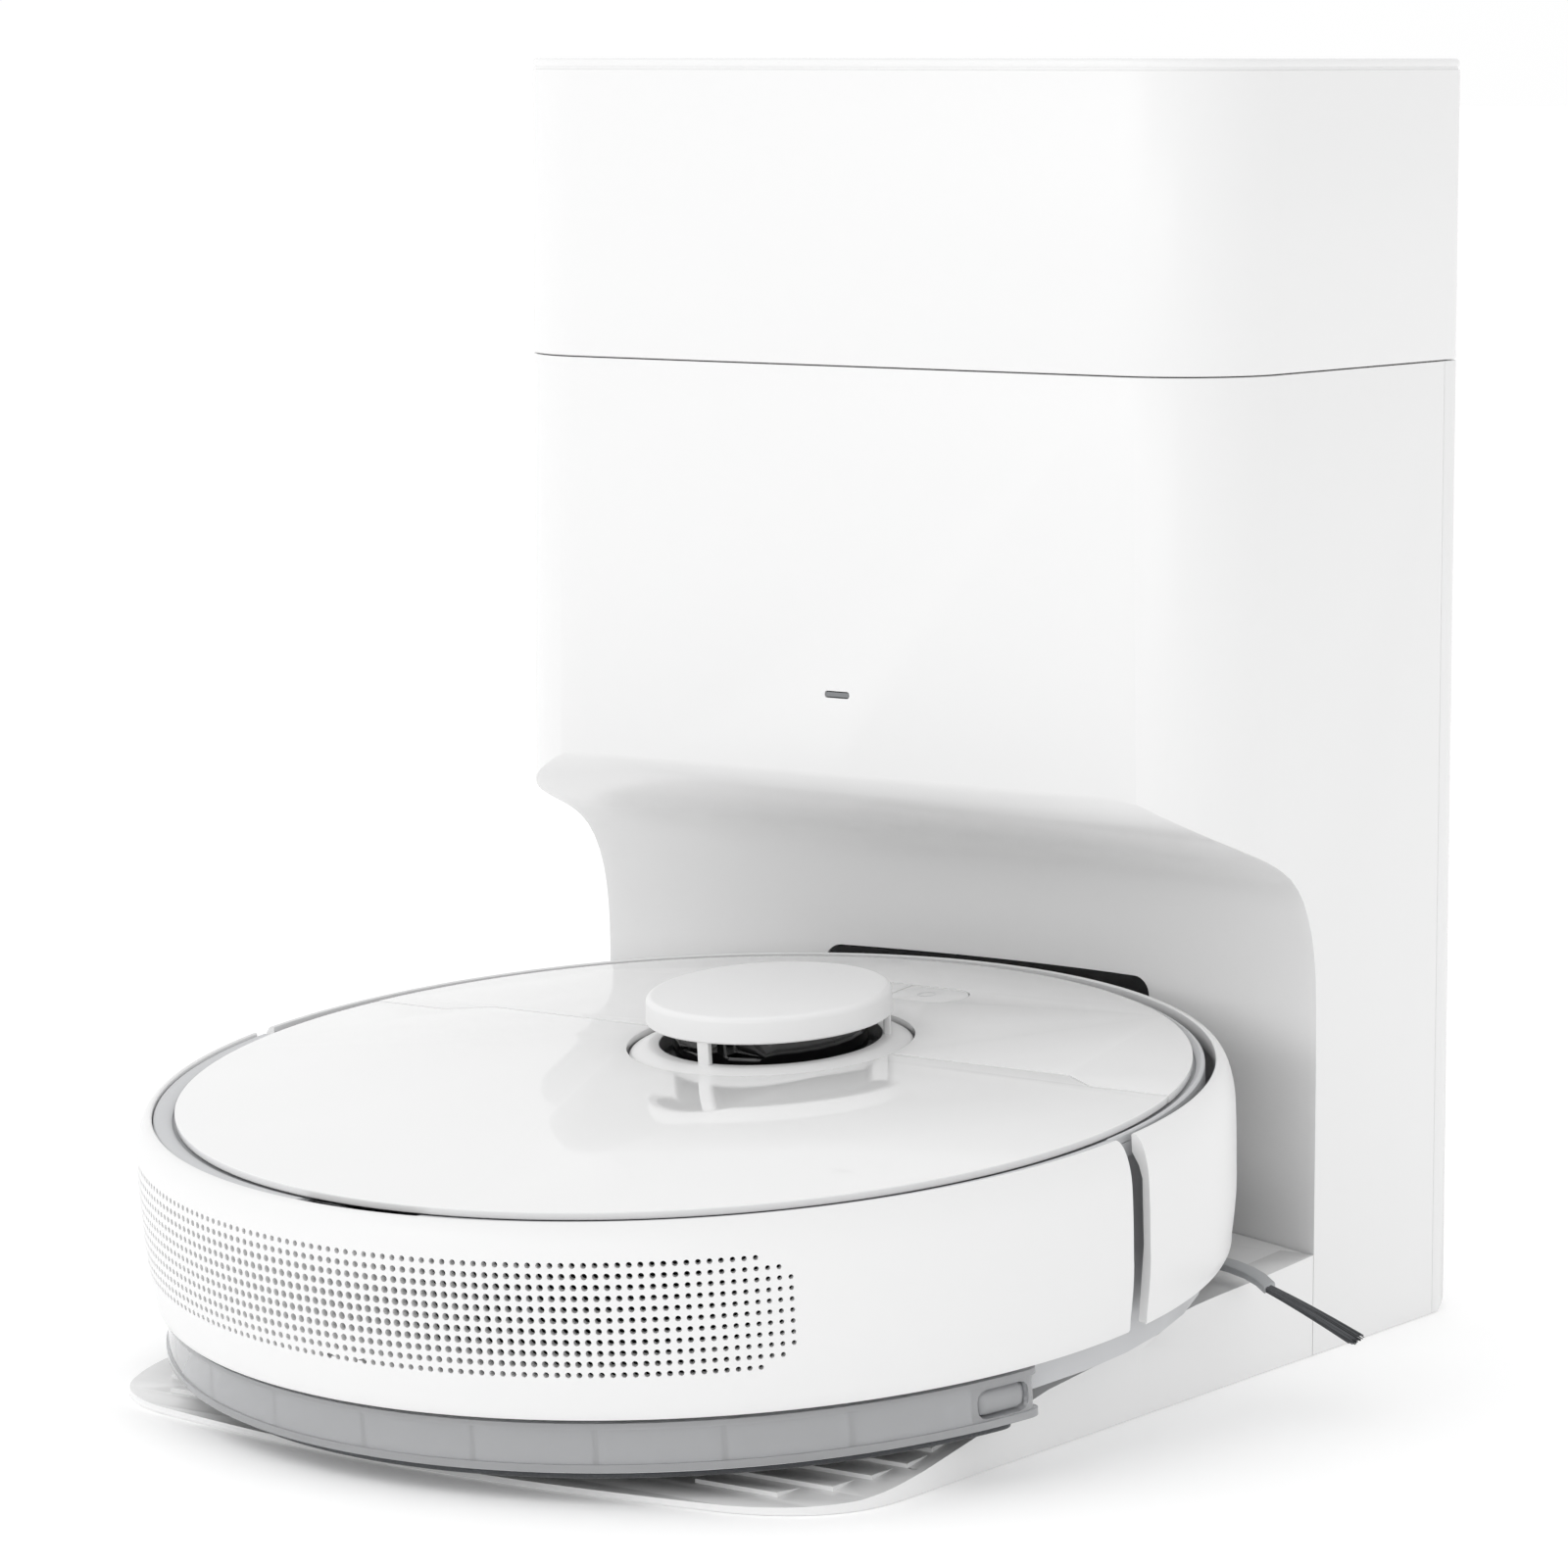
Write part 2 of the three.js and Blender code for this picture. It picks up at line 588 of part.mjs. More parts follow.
function mainsInlet() {
  const [x0, x1, z0, z1] = [-98, -66, 18, 36];
  const body = block(x0, x1, DOCK_BACK_Y - 22, DOCK_BACK_Y - 0.6, z0, z1);
  const well = block(x0 + 4, x1 - 4, DOCK_BACK_Y - 14, DOCK_BACK_Y + 1, z0 + 4, z1 - 4);
  const pins = [-1, 1].map((side) => {
    const x = (x0 + x1) / 2 + side * 4.3;
    return block(x - 1.2, x + 1.2, DOCK_BACK_Y - 15, DOCK_BACK_Y - 4, 25.8, 28.2);
  });
  return join(cut(body, well), ...pins);
}

function dockGroup() {
  const dock = new THREE.Group();
  const light = lightSlot(0).intersect(block(-20, 20, DOCK_FRONT_Y + 0.2, DOCK_FRONT_Y + 6, 200, 230));
  const irWindow = wallStrip(-IR_HALF_WIDTH, IR_HALF_WIDTH, 0.2, DOCK_WALL, IR_BOTTOM_Z, IR_TOP_Z);
  dock.add(
    mesh("dock_base", dockBase(), "white"),
    mesh("dock_column", dockColumn(), "white"),
    mesh("dock_back_cover", dockBackCover(), "white"),
    mesh("dock_top_lid", dockTopLid(), "white"),
    mesh("dust_bag", dustBag(), "paper"),
    mesh("dust_bag_collar", dustBagCollar(), "darkGrey"),
    mesh("bag_holder", bagHolder(), "grey"),
    mesh("suction_duct", suctionDuct(), "darkGrey"),
    mesh("inlet_seal", inletSeal(), "rubber"),
    mesh("dock_fan_housing", dockFanHousing(), "black"),
    mesh("dock_fan_impeller", impeller(23, 71, 87, DOCK_FAN_X, DOCK_FAN_Y, 9), "darkGrey"),
    mesh("dock_motor_filter", dockMotorFilter(), "paper"),
    mesh("ir_window", irWindow, "black"),
    mesh("status_light", light, "grey"),
    mesh("dock_circuit_board", dockCircuitBoard(), "green"),
    mesh("mains_inlet", mainsInlet(), "black"),
  );
  for (const [side, hand] of [[-1, "left"], [1, "right"]]) {
    dock.add(
      mesh("contact_" + hand, contact(side), "metal"),
      mesh("front_pad_" + hand, rod(PAD_R, 0, PAD_DEPTH, side * 112, 40), "rubber"),
      mesh("back_pad_" + hand, rod(PAD_R, 0, PAD_DEPTH, side * 118, 205), "rubber"),
    );
  }
  return dock;
}

// ---- Robot --------------------------------------------------------------------------------------

function everythingBehind(y) {
  return block(-250, 250, -250, y, -50, 150);
}

function everythingAhead(y) {
  return block(-250, 250, y, 250, -50, 150);
}

function chassis() {
  const [r, low, top] = [CHASSIS_R, BODY_BOTTOM, CHASSIS_TOP];
  const wall = FLOOR;
  const pan = turned(
    [[0, low], [r, low], [r, top], [r - wall, top], [r - wall, low + wall], [0, low + wall]],
    FULL_ROUND,
  );
  const bayTop = TANK_TOP + 1.2;
  const bay = block(-200, 200, -200, TANK_FRONT_Y + 1, low - 1, bayTop);
  const bayRoof = join(
    rod(r - 1, bayTop, bayTop + wall, 0, 0, FULL_ROUND).intersect(everythingBehind(TANK_FRONT_Y + 3)),
    rod(r - 1, low, bayTop + wall, 0, 0, FULL_ROUND)
      .intersect(everythingBehind(TANK_FRONT_Y + 1 + wall))
      .intersect(everythingAhead(TANK_FRONT_Y + 1)),
  );
  const w = CHAMBER_WALL;
  const chamber = cut(
    block(-92, 92, CHAMBER_BACK - w, CHAMBER_FRONT + w, low, CHAMBER_TOP + w),
    block(-92 + w, 92 - w, CHAMBER_BACK, CHAMBER_FRONT, low - 1, CHAMBER_TOP),
    block(-36, 36, CHAMBER_BACK - w - 4, CHAMBER_BACK + 1.5, 31, 45),
  );
  const openings = [
    block(-96, 96, CHAMBER_BACK - 5.5, CHAMBER_FRONT + 5.5, low - 1, low + wall + 0.01),
    rod(19.5, low - 1, low + wall + 1, 0, CASTER_Y, SMALL_ROUND),
    rod(6, low - 1, low + wall + 1, ...SIDE_BRUSH, 16),
  ];
  for (const side of [-1, 1]) {
    const x = side * WHEEL_X;
    const half = WHEEL_WIDTH / 2 + 2;
    openings.push(block(x - half, x + half, -40, 40, low - 1, low + wall + 1));
  }
  const floorCut = cut(join(cut(pan, bay), bayRoof), ...openings);
  const lowChamber = cut(chamber, block(-100, 100, CHAMBER_BACK - 6.5, CHAMBER_FRONT + 6.5, low - 1, low + wall));
  const bridges = [-1, 1].map((side) => {
    const [a, b] = [side * 92, side * 100];
    return block(Math.min(a, b), Math.max(a, b), 60, 82, low + wall, low + wall + 4);
  });
  const sills = block(-92, 92, CHAMBER_FRONT + w, CHAMBER_FRONT + w + 6, low + wall, low + wall + 4);
  return join(floorCut, lowChamber, sills, ...bridges);
}

// The section of the outer shell: bottom edge, outer face, round shoulder, lip and inner face.
function shellProfile() {
  const [r, w] = [ROBOT_RADIUS, SHELL_WALL];
  return [
    [r - 3.6, SHELL_BOTTOM],
    [r - 0.5, 45],
    [r, 66],
    [r - 0.7, 72],
    [r - 2.6, 76.8],
    [SHELL_LIP_R + 0.9, SHELL_TOP],
    [SHELL_LIP_R, SHELL_TOP],
    [SHELL_LIP_R, 74],
    [r - w - 1, 70],
    [r - w, 66],
    [r - w - 0.5, 45],
    [r - w - 3.6, SHELL_BOTTOM],
  ];
}

function sideShell() {
  const flange = [[CHASSIS_R + GAP, 23], [ROBOT_RADIUS - 4, 23], [ROBOT_RADIUS - 4, 26], [CHASSIS_R + GAP, 26]];
  return join(turned(shellProfile(), FULL_ROUND), turned(flange, FULL_ROUND)).intersect(
    everythingBehind(SHELL_SPLIT_Y),
  );
}

function bumper() {
  const windowRoom = turned([[173, 47.6], [180, 47.6], [180, 60.4], [173, 60.4]], FULL_ROUND);
  const shell = turned(shellProfile(), FULL_ROUND).intersect(everythingAhead(BUMPER_SPLIT_Y));
  return cut(shell, windowRoom.intersect(everythingAhead(110 - GAP)));
}

function bumperWindow() {
  const band = turned([[173.3, 48], [174.7, 48], [174.7, 60], [173.3, 60]], FULL_ROUND);
  return band.intersect(everythingAhead(110));
}

// The dark baffle behind the exhaust holes.
function ventLiner() {
  const wedge = outline([[0, 0], [-190, -170], [190, -170]]);
  return turned([[168.4, 29], [169.6, 29], [169.6, 67], [168.4, 67]], FULL_ROUND).intersect(
    prism(wedge, 0, 100),
  );
}

// The top housing under the plates: a floor, the channel round the plates and a seat for the turret.
function deck() {
  const low = CHASSIS_TOP + GAP;
  const floorTop = low + 2.5;
  const channelTop = PLATE_BOTTOM - 2;
  const pan = turned(
    [[0, low], [165.8, low], [165.8, channelTop], [158, channelTop], [156.5, floorTop], [0, floorTop]],
    FULL_ROUND,
  );
  const collar = turned(
    [[47.4, floorTop - 1], [50, floorTop - 1], [50, PLATE_BOTTOM - GAP], [47.4, PLATE_BOTTOM - GAP]],
    MID_ROUND,
    0,
    SEAM_Y,
  );
  const halfWidth = BIN.halfWidth + BIN_GAP;
  const binRoom = block(-halfWidth, halfWidth, BIN.back - BIN_GAP, BIN.front + BIN_GAP, low - 1, PLATE_TOP);
  const ring = cut(pan, binRoom);
  const notch = block(-22.5, 22.5, -170, -157, low - 1, PLATE_TOP);
  return cut(join(ring, collar), notch);
}

// The outline of the seam between the fixed plate and the lid, from -X to +X, moved back by shift.
function seamLine(shift) {
  const y = SEAM_Y - shift;
  const [inner, outer] = SEAM_STEP_X;
  return [[-200, y - SEAM_STEP], [-outer, y - SEAM_STEP], [-inner, y], [inner, y], [outer, y - SEAM_STEP],
    [200, y - SEAM_STEP]];
}

function topPlate() {
  const profile = [[0, PLATE_BOTTOM], [PLATE_R, PLATE_BOTTOM], [PLATE_R, PLATE_TOP - 0.6],
    [PLATE_R - 0.8, PLATE_TOP], [0, PLATE_TOP]];
  const hole = rod(TURRET_HOLE_R, PLATE_BOTTOM - 1, PLATE_TOP + 1, 0, SEAM_Y, MID_ROUND);
  return cut(turned(profile, FULL_ROUND), hole);
}

function frontCover() {
  const ahead = prism(outline([...seamLine(-GAP / 2), [200, 250], [-200, 250]]), 0, 150);
  return cut(topPlate().intersect(ahead), buttonRoom(GAP));
}

function lid() {
  const behind = prism(outline([...seamLine(GAP / 2), [200, -250], [-200, -250]]), 0, 150);
  return topPlate().intersect(behind);
}

// The stadium-shaped room that the two buttons share.
function buttonRoom(gap) {
  const [half, r] = [BUTTON_HALF_LENGTH - BUTTON_R, BUTTON_R + gap];
  const shape = new THREE.Shape();
  shape.absarc(half, BUTTON_Y, r, -Math.PI / 2, Math.PI / 2, false);
  shape.absarc(-half, BUTTON_Y, r, Math.PI / 2, 1.5 * Math.PI, false);
  return prism(shape, PLATE_BOTTOM - 1, PLATE_TOP + 1, 8);
}

function button(side) {
  const half = side > 0 ? block(0.3, 50, 0, 200, 0, 150) : block(-50, -0.3, 0, 200, 0, 150);
  const slab = block(-60, 60, 90, 150, PLATE_BOTTOM + 0.4, PLATE_TOP - 0.2);
  return buttonRoom(0).intersect(half).intersect(slab);
}

// The fixed cage over the spinning sensor: base ring, five posts and cap.
function turretCage() {
  const [low, high] = TURRET_EYE;
  const base = [[36.4, PLATE_BOTTOM - 1.4], [46.2, PLATE_BOTTOM - 1.4], [46.2, PLATE_BOTTOM + 0.4],
    [39.2, low], [36.4, low]];
  const cap = [[0, 94.4], [37, 94.4], [37.2, high], [TURRET_R, high], [TURRET_R - 0.3, 95.4],
    [TURRET_R - 2, TURRET_TOP], [0, TURRET_TOP]];
  const parts = [turned(base, MID_ROUND, 0, SEAM_Y), turned(cap, MID_ROUND, 0, SEAM_Y)];
  for (let i = 0; i < POSTS; i++) {
    const post = new THREE.BoxGeometry(2.2, 4.2, high - low + 2);
    post.translate(38.1, 0, (low + high) / 2).rotateZ((2 * Math.PI * i) / POSTS + POST_TURN);
    parts.push(solidOf(post.translate(0, SEAM_Y, 0)));
  }
  return join(...parts);
}

function lidarHead() {
  const profile = [[0, 78.6], [HEAD_R, 78.6], [HEAD_R, 91], [HEAD_R - 3, 93], [0, 93]];
  const body = turned(profile, MID_ROUND, 0, SEAM_Y);
  const eyes = [-1, 1].map((side) =>
    block(side * 11 - 6, side * 11 + 6, SEAM_Y - HEAD_R - 1, SEAM_Y - HEAD_R + 5, 82.5, 89.5),
  );
  return cut(body, ...eyes);
}

function lidarBase() {
  const z = CHASSIS_TOP + GAP + 2.5 + GAP;
  const profile = [[0, z], [34, z], [34, 76.2], [20, 76.2], [20, 78.2], [0, 78.2]];
  return turned(profile, MID_ROUND, 0, SEAM_Y);
}

function wheelArm(side) {
  const [a, b] = [side * 94, side * 101];
  const [py, pz] = ARM_PIVOT;
  const points = [[-9, WHEEL_R - 8], [9, WHEEL_R - 8], [py + 6, pz - 7], [py + 6, pz + 6], [py - 8, pz + 8],
    [-9, WHEEL_R + 9]];
  const arm = crossBar(points, Math.min(a, b), Math.max(a, b));
  const [c, d] = [side * 100, side * 118];
  return join(arm, axle(3, Math.min(c, d), Math.max(c, d), 0, WHEEL_R, 12));
}

function wheel(side) {
  const half = WHEEL_WIDTH / 2 - 1;
  const x = side * WHEEL_X;
  const disc = axle(WHEEL_R - 6, x - half, x + half, 0, WHEEL_R, MID_ROUND, 3 + GAP);
  const parts = [disc];
  const outer = x + side * half;
  for (let i = 0; i < 5; i++) {
    const turn = (2 * Math.PI * i) / 5;
    const [y, z] = [15 * Math.cos(turn), 15 * Math.sin(turn)];
    parts.push(axle(6, Math.min(outer, outer - side * 5) - 0.5, Math.max(outer, outer - side * 5) + 0.5,
      y, WHEEL_R + z, 12));
  }
  return cut(...parts);
}

function tyre(side) {
  const half = WHEEL_WIDTH / 2;
  const x = side * WHEEL_X;
  return axle(WHEEL_R, x - half, x + half, 0, WHEEL_R, MID_ROUND, WHEEL_R - 6 + GAP);
}

function casterFork() {
  const cy = CASTER_Y - CASTER_TRAIL;
  const cheeks = [-1, 1].map((side) => {
    const [a, b] = [side * 7, side * 9.6];
    const points = [[cy - 4, 6], [cy + 4, 6], [CASTER_Y + 9, 20], [CASTER_Y - 11, 20]];
    return crossBar(points, Math.min(a, b), Math.max(a, b));
  });
  return join(rod(15.5, 18.6, 25, 0, CASTER_Y), rod(5, 24, 36, 0, CASTER_Y, 16), ...cheeks);
}

function casterWheel() {
  const y = CASTER_Y - CASTER_TRAIL;
  return join(axle(CASTER_R, -6, 6, y, CASTER_R), axle(2, -6.6, 6.6, y, CASTER_R, 12));
}

function mainBrush() {
  const core = axle(8.5, -BRUSH_HALF_LENGTH, BRUSH_HALF_LENGTH, BRUSH_Y, BRUSH_Z, 16);
  const fins = [];
  for (let i = 0; i < 6; i++) {
    const fin = new THREE.BoxGeometry(2 * BRUSH_HALF_LENGTH - 6, 2.2, BRUSH_R - 7);
    fin.translate(0, 0, (BRUSH_R + 7) / 2).rotateX((2 * Math.PI * i) / 6);
    fins.push(solidOf(fin.translate(0, BRUSH_Y, BRUSH_Z)));
  }
  return join(core, ...fins);
}

function brushGuard() {
  const [low, top] = [BODY_BOTTOM, BODY_BOTTOM + FLOOR];
  const [back, front, under] = [CHAMBER_BACK, CHAMBER_FRONT, BRUSH_LOW - 1.2];
  const frame = cut(
    block(-95.5, 95.5, back - 5, front + 5, low, top),
    block(-86, 86, back + 1.5, front - 1.5, low - 1, top + 1),
  );
  const bar = [
    [back - 2.5, low], [back + 5.5, under - 2.8], [front - 5.5, under - 2.8], [front + 2.5, low],
    [front + 2.5, top], [front - 0.5, top], [front - 7.5, under], [back + 7.5, under],
    [back + 0.5, top], [back - 2.5, top],
  ];
  const bars = [-57, -19, 19, 57].map((x) => crossBar(bar, x - 1.6, x + 1.6));
  return join(frame, ...bars);
}

function sideBrushHub() {
  const [x, y] = SIDE_BRUSH;
  const z = SIDE_BRUSH_Z;
  const profile = [[0, z - 1.6], [8, z - 1.6], [10, z], [10, z + 1.6], [4.4, z + 2.4], [4.4, 22], [0, 22]];
  return turned(profile, SMALL_ROUND, x, y);
}

// A point of the bent sleeve's middle line, from the hub's centre.
function sleevePoint(share) {
  const [start, bend, end] = SLEEVE_PATH.map(([x, y]) => new THREE.Vector2(x, y));
  return new THREE.QuadraticBezierCurve(start, bend, end).getPoint(share).toArray();
}

// The soft ring and its two sleeves, which hold the bristles.
function sideBrushArms() {
  const [x, y] = SIDE_BRUSH;
  const z = SIDE_BRUSH_Z;
  const ring = rod(13, z - 1.2, z + 1.2, x, y, SMALL_ROUND, 10 + GAP);
  const arms = [0, Math.PI].map((turn) => {
    const rings = [];
    for (let i = 0; i <= 6; i++) {
      const [px, py] = sleevePoint(i / 6);
      rings.push([[px, py - 3.4, -1.2], [px, py + 3.4, -1.2], [px, py + 3.4, 1.2], [px, py - 3.4, 1.2]]);
    }
    return loft(rings, new THREE.Matrix4().makeRotationZ(turn).setPosition(x, y, z));
  });
  const room = rod(10 + GAP, z - 3, z + 3, x, y);
  return cut(join(ring, ...arms), room);
}

// A bundle of bristles that starts at its sleeve's end and spreads towards its tip.
function bristleTuft(turn, length) {
  const [x, y] = SIDE_BRUSH;
  const [endX, endY] = sleevePoint(1);
  const rings = [];
  for (let i = 0; i <= 4; i++) {
    const share = i / 4;
    const px = endX + GAP + length * share;
    const py = endY - length * 0.5 * share * (1.3 - 0.5 * share);
    const half = 2 + 2.2 * share;
    rings.push([[px, py - half, -0.9], [px, py + half, -0.9], [px, py + half, 0.9], [px, py - half, 0.9]]);
  }
  return loft(rings, new THREE.Matrix4().makeRotationZ(turn).setPosition(x, y, SIDE_BRUSH_Z));
}

function battery() {
  const pack = [-1, 1].flatMap((row) =>
    [-1, 1].map((side) => {
      const cell = new THREE.CylinderGeometry(10.6, 10.6, 44, SMALL_ROUND);
      return solidOf(cell.translate(-104 + side * 10.2, -66, 45 + row * 10.2));
    }),
  );
  return join(block(-120, -88, -87, -45, 30, 60), ...pack);
}

function mainBoard() {
  const board = block(-78, 78, 106, 134, 50, 51.6);
  const chips = [block(-60, -40, 110, 128, 51, 55), block(10, 34, 112, 126, 51, 54)];
  const sockets = [block(-20, -8, 108, 114, 51, 58), block(50, 66, 120, 130, 51, 59)];
  return join(board, ...chips, ...sockets);
}

function fanHousing() {
  const body = rod(FAN_R, 24, 58, 0, FAN_Y, MID_ROUND);
  const chamber = rod(FAN_R - 3, 38, 55, 0, FAN_Y, MID_ROUND);
  const mouth = rod(13, 50, 60, 0, FAN_Y);
  const exhaust = block(-12, 12, FAN_Y - 40, FAN_Y, 40, 53);
  return cut(body, chamber, mouth, exhaust);
}

function dustBin() {
  const { halfWidth, back, front, bottom, top } = BIN;
  const w = 2;
  const snoutFront = CHAMBER_BACK - CHAMBER_WALL - SNOUT_GAP;
  const box = block(-halfWidth, halfWidth, back, front, bottom, top);
  const snout = block(-38, 38, front - 2, snoutFront, bottom + 5, 47);
  const inside = block(-halfWidth + w, halfWidth - w, back + 14, front - w, bottom + w, top - w);
  const throat = block(-38 + w, 38 - w, front - w - 1, snoutFront + 1, bottom + 5 + w, 47 - w);
  const filterRoom = block(-52, 52, back - 1, back + 12, bottom + 8, top - 8);
  const window = block(-48, 48, back + 8, back + 16, bottom + 12, top - 12);
  return cut(join(box, snout), inside, throat, filterRoom, window);
}

function dustFilter() {
  const { back, bottom, top } = BIN;
  const frame = block(-51.6, 51.6, back, back + 11.6, bottom + 8.4, top - 8.4);
  const pleats = [];
  for (let i = 0; i < 12; i++) {
    const x = -46 + i * 8;
    pleats.push(block(x, x + 4, back - 1, back + 6, bottom + 12, top - 12));
  }
  return cut(frame, ...pleats);
}

// The D-shaped plan of the water tank, drawn in by inset.
function tankPlan(inset, radius = TANK_R) {
  const y = TANK_FRONT_Y - inset;
  const r = radius - inset;
  const reach = Math.asin(y / r);
  const shape = new THREE.Shape();
  shape.absarc(0, 0, r, Math.PI - reach, 2 * Math.PI + reach, false);
  return shape;
}

// A block at a latch, measured outward from the robot's centre, along the rim and up.
function latchBlock(side, near, far, halfLength, z0, z1) {
  const geometry = new THREE.BoxGeometry(far - near, 2 * halfLength, z1 - z0);
  geometry.translate((near + far) / 2, 0, (z0 + z1) / 2);
  geometry.rotateZ(-Math.PI / 2 + side * LATCH_ANGLE);
  return solidOf(geometry);
}

function waterTank() {
  const w = TANK_WALL;
  const outer = prism(tankPlan(0), TANK_BOTTOM, TANK_TOP, 24);
  const chamber = prism(tankPlan(w), TANK_BOTTOM + w, TANK_TOP - w, 24);
  const filler = rod(8, TANK_TOP - 4, TANK_TOP + 1, 78, -118, 16);
  const rooms = [];
  const walls = [];
  for (const side of [-1, 1]) {
    rooms.push(latchBlock(side, 157.5 - LATCH_TRAVEL, 180, 9.4, 6.2, 15.4));
    walls.push(latchBlock(side, 155.7 - LATCH_TRAVEL, 166, 11.2, TANK_BOTTOM + 0.5, TANK_TOP - 0.5));
  }
  return cut(join(cut(outer, chamber, filler), ...walls.map((wall) => wall.intersect(outer))), ...rooms);
}

function tankLatch(side) {
  return latchBlock(side, 158, 168.6, 9, 6.6, 15);
}

function mopBracket() {
  return prism(tankPlan(4), 1.9, TANK_BOTTOM - 0.3, 16);
}

function mopPad() {
  return prism(tankPlan(6), 0, 1.6, 16);
}

function robotGroup() {
  const robot = new THREE.Group();
  robot.position.set(0, ROBOT_ORIGIN_Y, ROBOT_ORIGIN_Z);
  robot.rotation.x = ROBOT_TILT;
  robot.add(
    mesh("chassis", chassis(), "darkGrey"),
    mesh("side_shell", sideShell(), "white"),
    mesh("vent_liner", ventLiner(), "black"),
    mesh("deck", deck(), "grey"),
    mesh("front_cover", frontCover(), "glossWhite"),
    mesh("lid", lid(), "glossWhite"),
    mesh("turret_cage", turretCage(), "white"),
    mesh("lidar_base", lidarBase(), "black"),
    mesh("lidar_head", lidarHead(), "black"),
    mesh("power_button", button(-1), "glossWhite"),
    mesh("home_button", button(1), "glossWhite"),
    mesh("bumper", bumper(), "white"),
    mesh("bumper_window", bumperWindow(), "black"),
    mesh("caster_fork", casterFork(), "grey"),
    mesh("caster_wheel", casterWheel(), "rubber"),
    mesh("main_brush", mainBrush(), "darkGrey"),
    mesh("brush_guard", brushGuard(), "grey"),
    mesh("side_brush_hub", sideBrushHub(), "darkGrey"),
    mesh("side_brush_arms", sideBrushArms(), "grey"),
    mesh("outer_bristles", bristleTuft(0, OUTER_BRISTLES), "darkGrey"),
    mesh("inner_bristles", bristleTuft(Math.PI, INNER_BRISTLES), "darkGrey"),
    mesh("battery", battery(), "black"),
    mesh("main_board", mainBoard(), "green"),
    mesh("fan_housing", fanHousing(), "black"),
    mesh("fan_impeller", impeller(20, 39.5, 53, 0, FAN_Y, 9), "darkGrey"),
    mesh("dust_bin", dustBin(), "smoke"),
    mesh("dust_filter", dustFilter(), "paper"),
    mesh("water_tank", waterTank(), "smoke"),
    mesh("mop_bracket", mopBracket(), "grey"),
    mesh("mop_pad", mopPad(), "darkGrey"),
  );
  for (const [side, hand] of [[-1, "left"], [1, "right"]]) {
    robot.add(
      mesh("wheel_arm_" + hand, wheelArm(side), "darkGrey"),
      mesh("wheel_" + hand, wheel(side), "grey"),
      mesh("tyre_" + hand, tyre(side), "rubber"),
      mesh("tank_latch_" + hand, tankLatch(side), "smoke"),
    );
  }
  return robot;
}

const robotVacuum = new THREE.Group();
robotVacuum.add(dockGroup(), robotGroup());

export default robotVacuum;
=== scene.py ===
"""A robot vacuum parked on its self-emptying dock: the visible surfaces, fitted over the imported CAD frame."""

import math
import random

import bmesh
import bpy
from mathutils import Matrix, Vector


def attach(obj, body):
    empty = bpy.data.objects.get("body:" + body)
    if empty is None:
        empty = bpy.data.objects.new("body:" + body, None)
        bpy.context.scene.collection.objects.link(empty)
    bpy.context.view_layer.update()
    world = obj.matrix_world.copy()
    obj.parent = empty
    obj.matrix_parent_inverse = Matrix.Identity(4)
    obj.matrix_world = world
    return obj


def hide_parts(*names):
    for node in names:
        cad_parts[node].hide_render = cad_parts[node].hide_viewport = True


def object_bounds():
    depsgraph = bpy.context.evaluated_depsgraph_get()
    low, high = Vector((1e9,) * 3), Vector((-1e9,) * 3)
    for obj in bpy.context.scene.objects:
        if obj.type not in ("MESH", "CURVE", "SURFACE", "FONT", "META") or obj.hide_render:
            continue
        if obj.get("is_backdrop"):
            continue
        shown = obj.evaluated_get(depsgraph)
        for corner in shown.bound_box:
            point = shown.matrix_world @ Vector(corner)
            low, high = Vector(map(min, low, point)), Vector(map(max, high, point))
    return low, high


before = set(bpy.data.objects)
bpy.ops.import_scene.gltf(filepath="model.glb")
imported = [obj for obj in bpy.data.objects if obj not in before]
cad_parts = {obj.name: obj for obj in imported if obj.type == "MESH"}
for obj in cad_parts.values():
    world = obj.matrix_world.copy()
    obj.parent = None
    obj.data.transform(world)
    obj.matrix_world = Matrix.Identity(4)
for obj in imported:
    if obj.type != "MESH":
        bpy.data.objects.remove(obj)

bl_info = {
    "name": "Robot vacuum and dock",
    "version": (1, 0, 0),
    "blender": (4, 5, 0),
    "location": "View3D > Sidebar > Robot vacuum",
    "description": "Builds the shells, plates, tank, brushes and dock of a robot vacuum",
    "category": "Add Mesh",
}

MM = 0.001
TILT = math.radians(5.25)
PLATE_TOP = 80.5
# The robot's own frame: +Y forward, +Z up, nose up on the ramp.
ROBOT_HEIGHT = 20.5
ROBOT = Matrix.Translation((0, PLATE_TOP * math.sin(TILT) * MM, ROBOT_HEIGHT * MM)) @ Matrix.Rotation(
    TILT, 4, "X"
)


# ---- Making shapes --------------------------------------------------------------------------------


def deselect():
    bpy.ops.object.select_all(action="DESELECT")


def edit(piece):
    deselect()
    bpy.context.view_layer.objects.active = piece
    piece.select_set(True)
    bpy.ops.object.mode_set(mode="EDIT")
    bpy.ops.mesh.select_all(action="SELECT")


def leave_edit():
    bpy.ops.object.mode_set(mode="OBJECT")


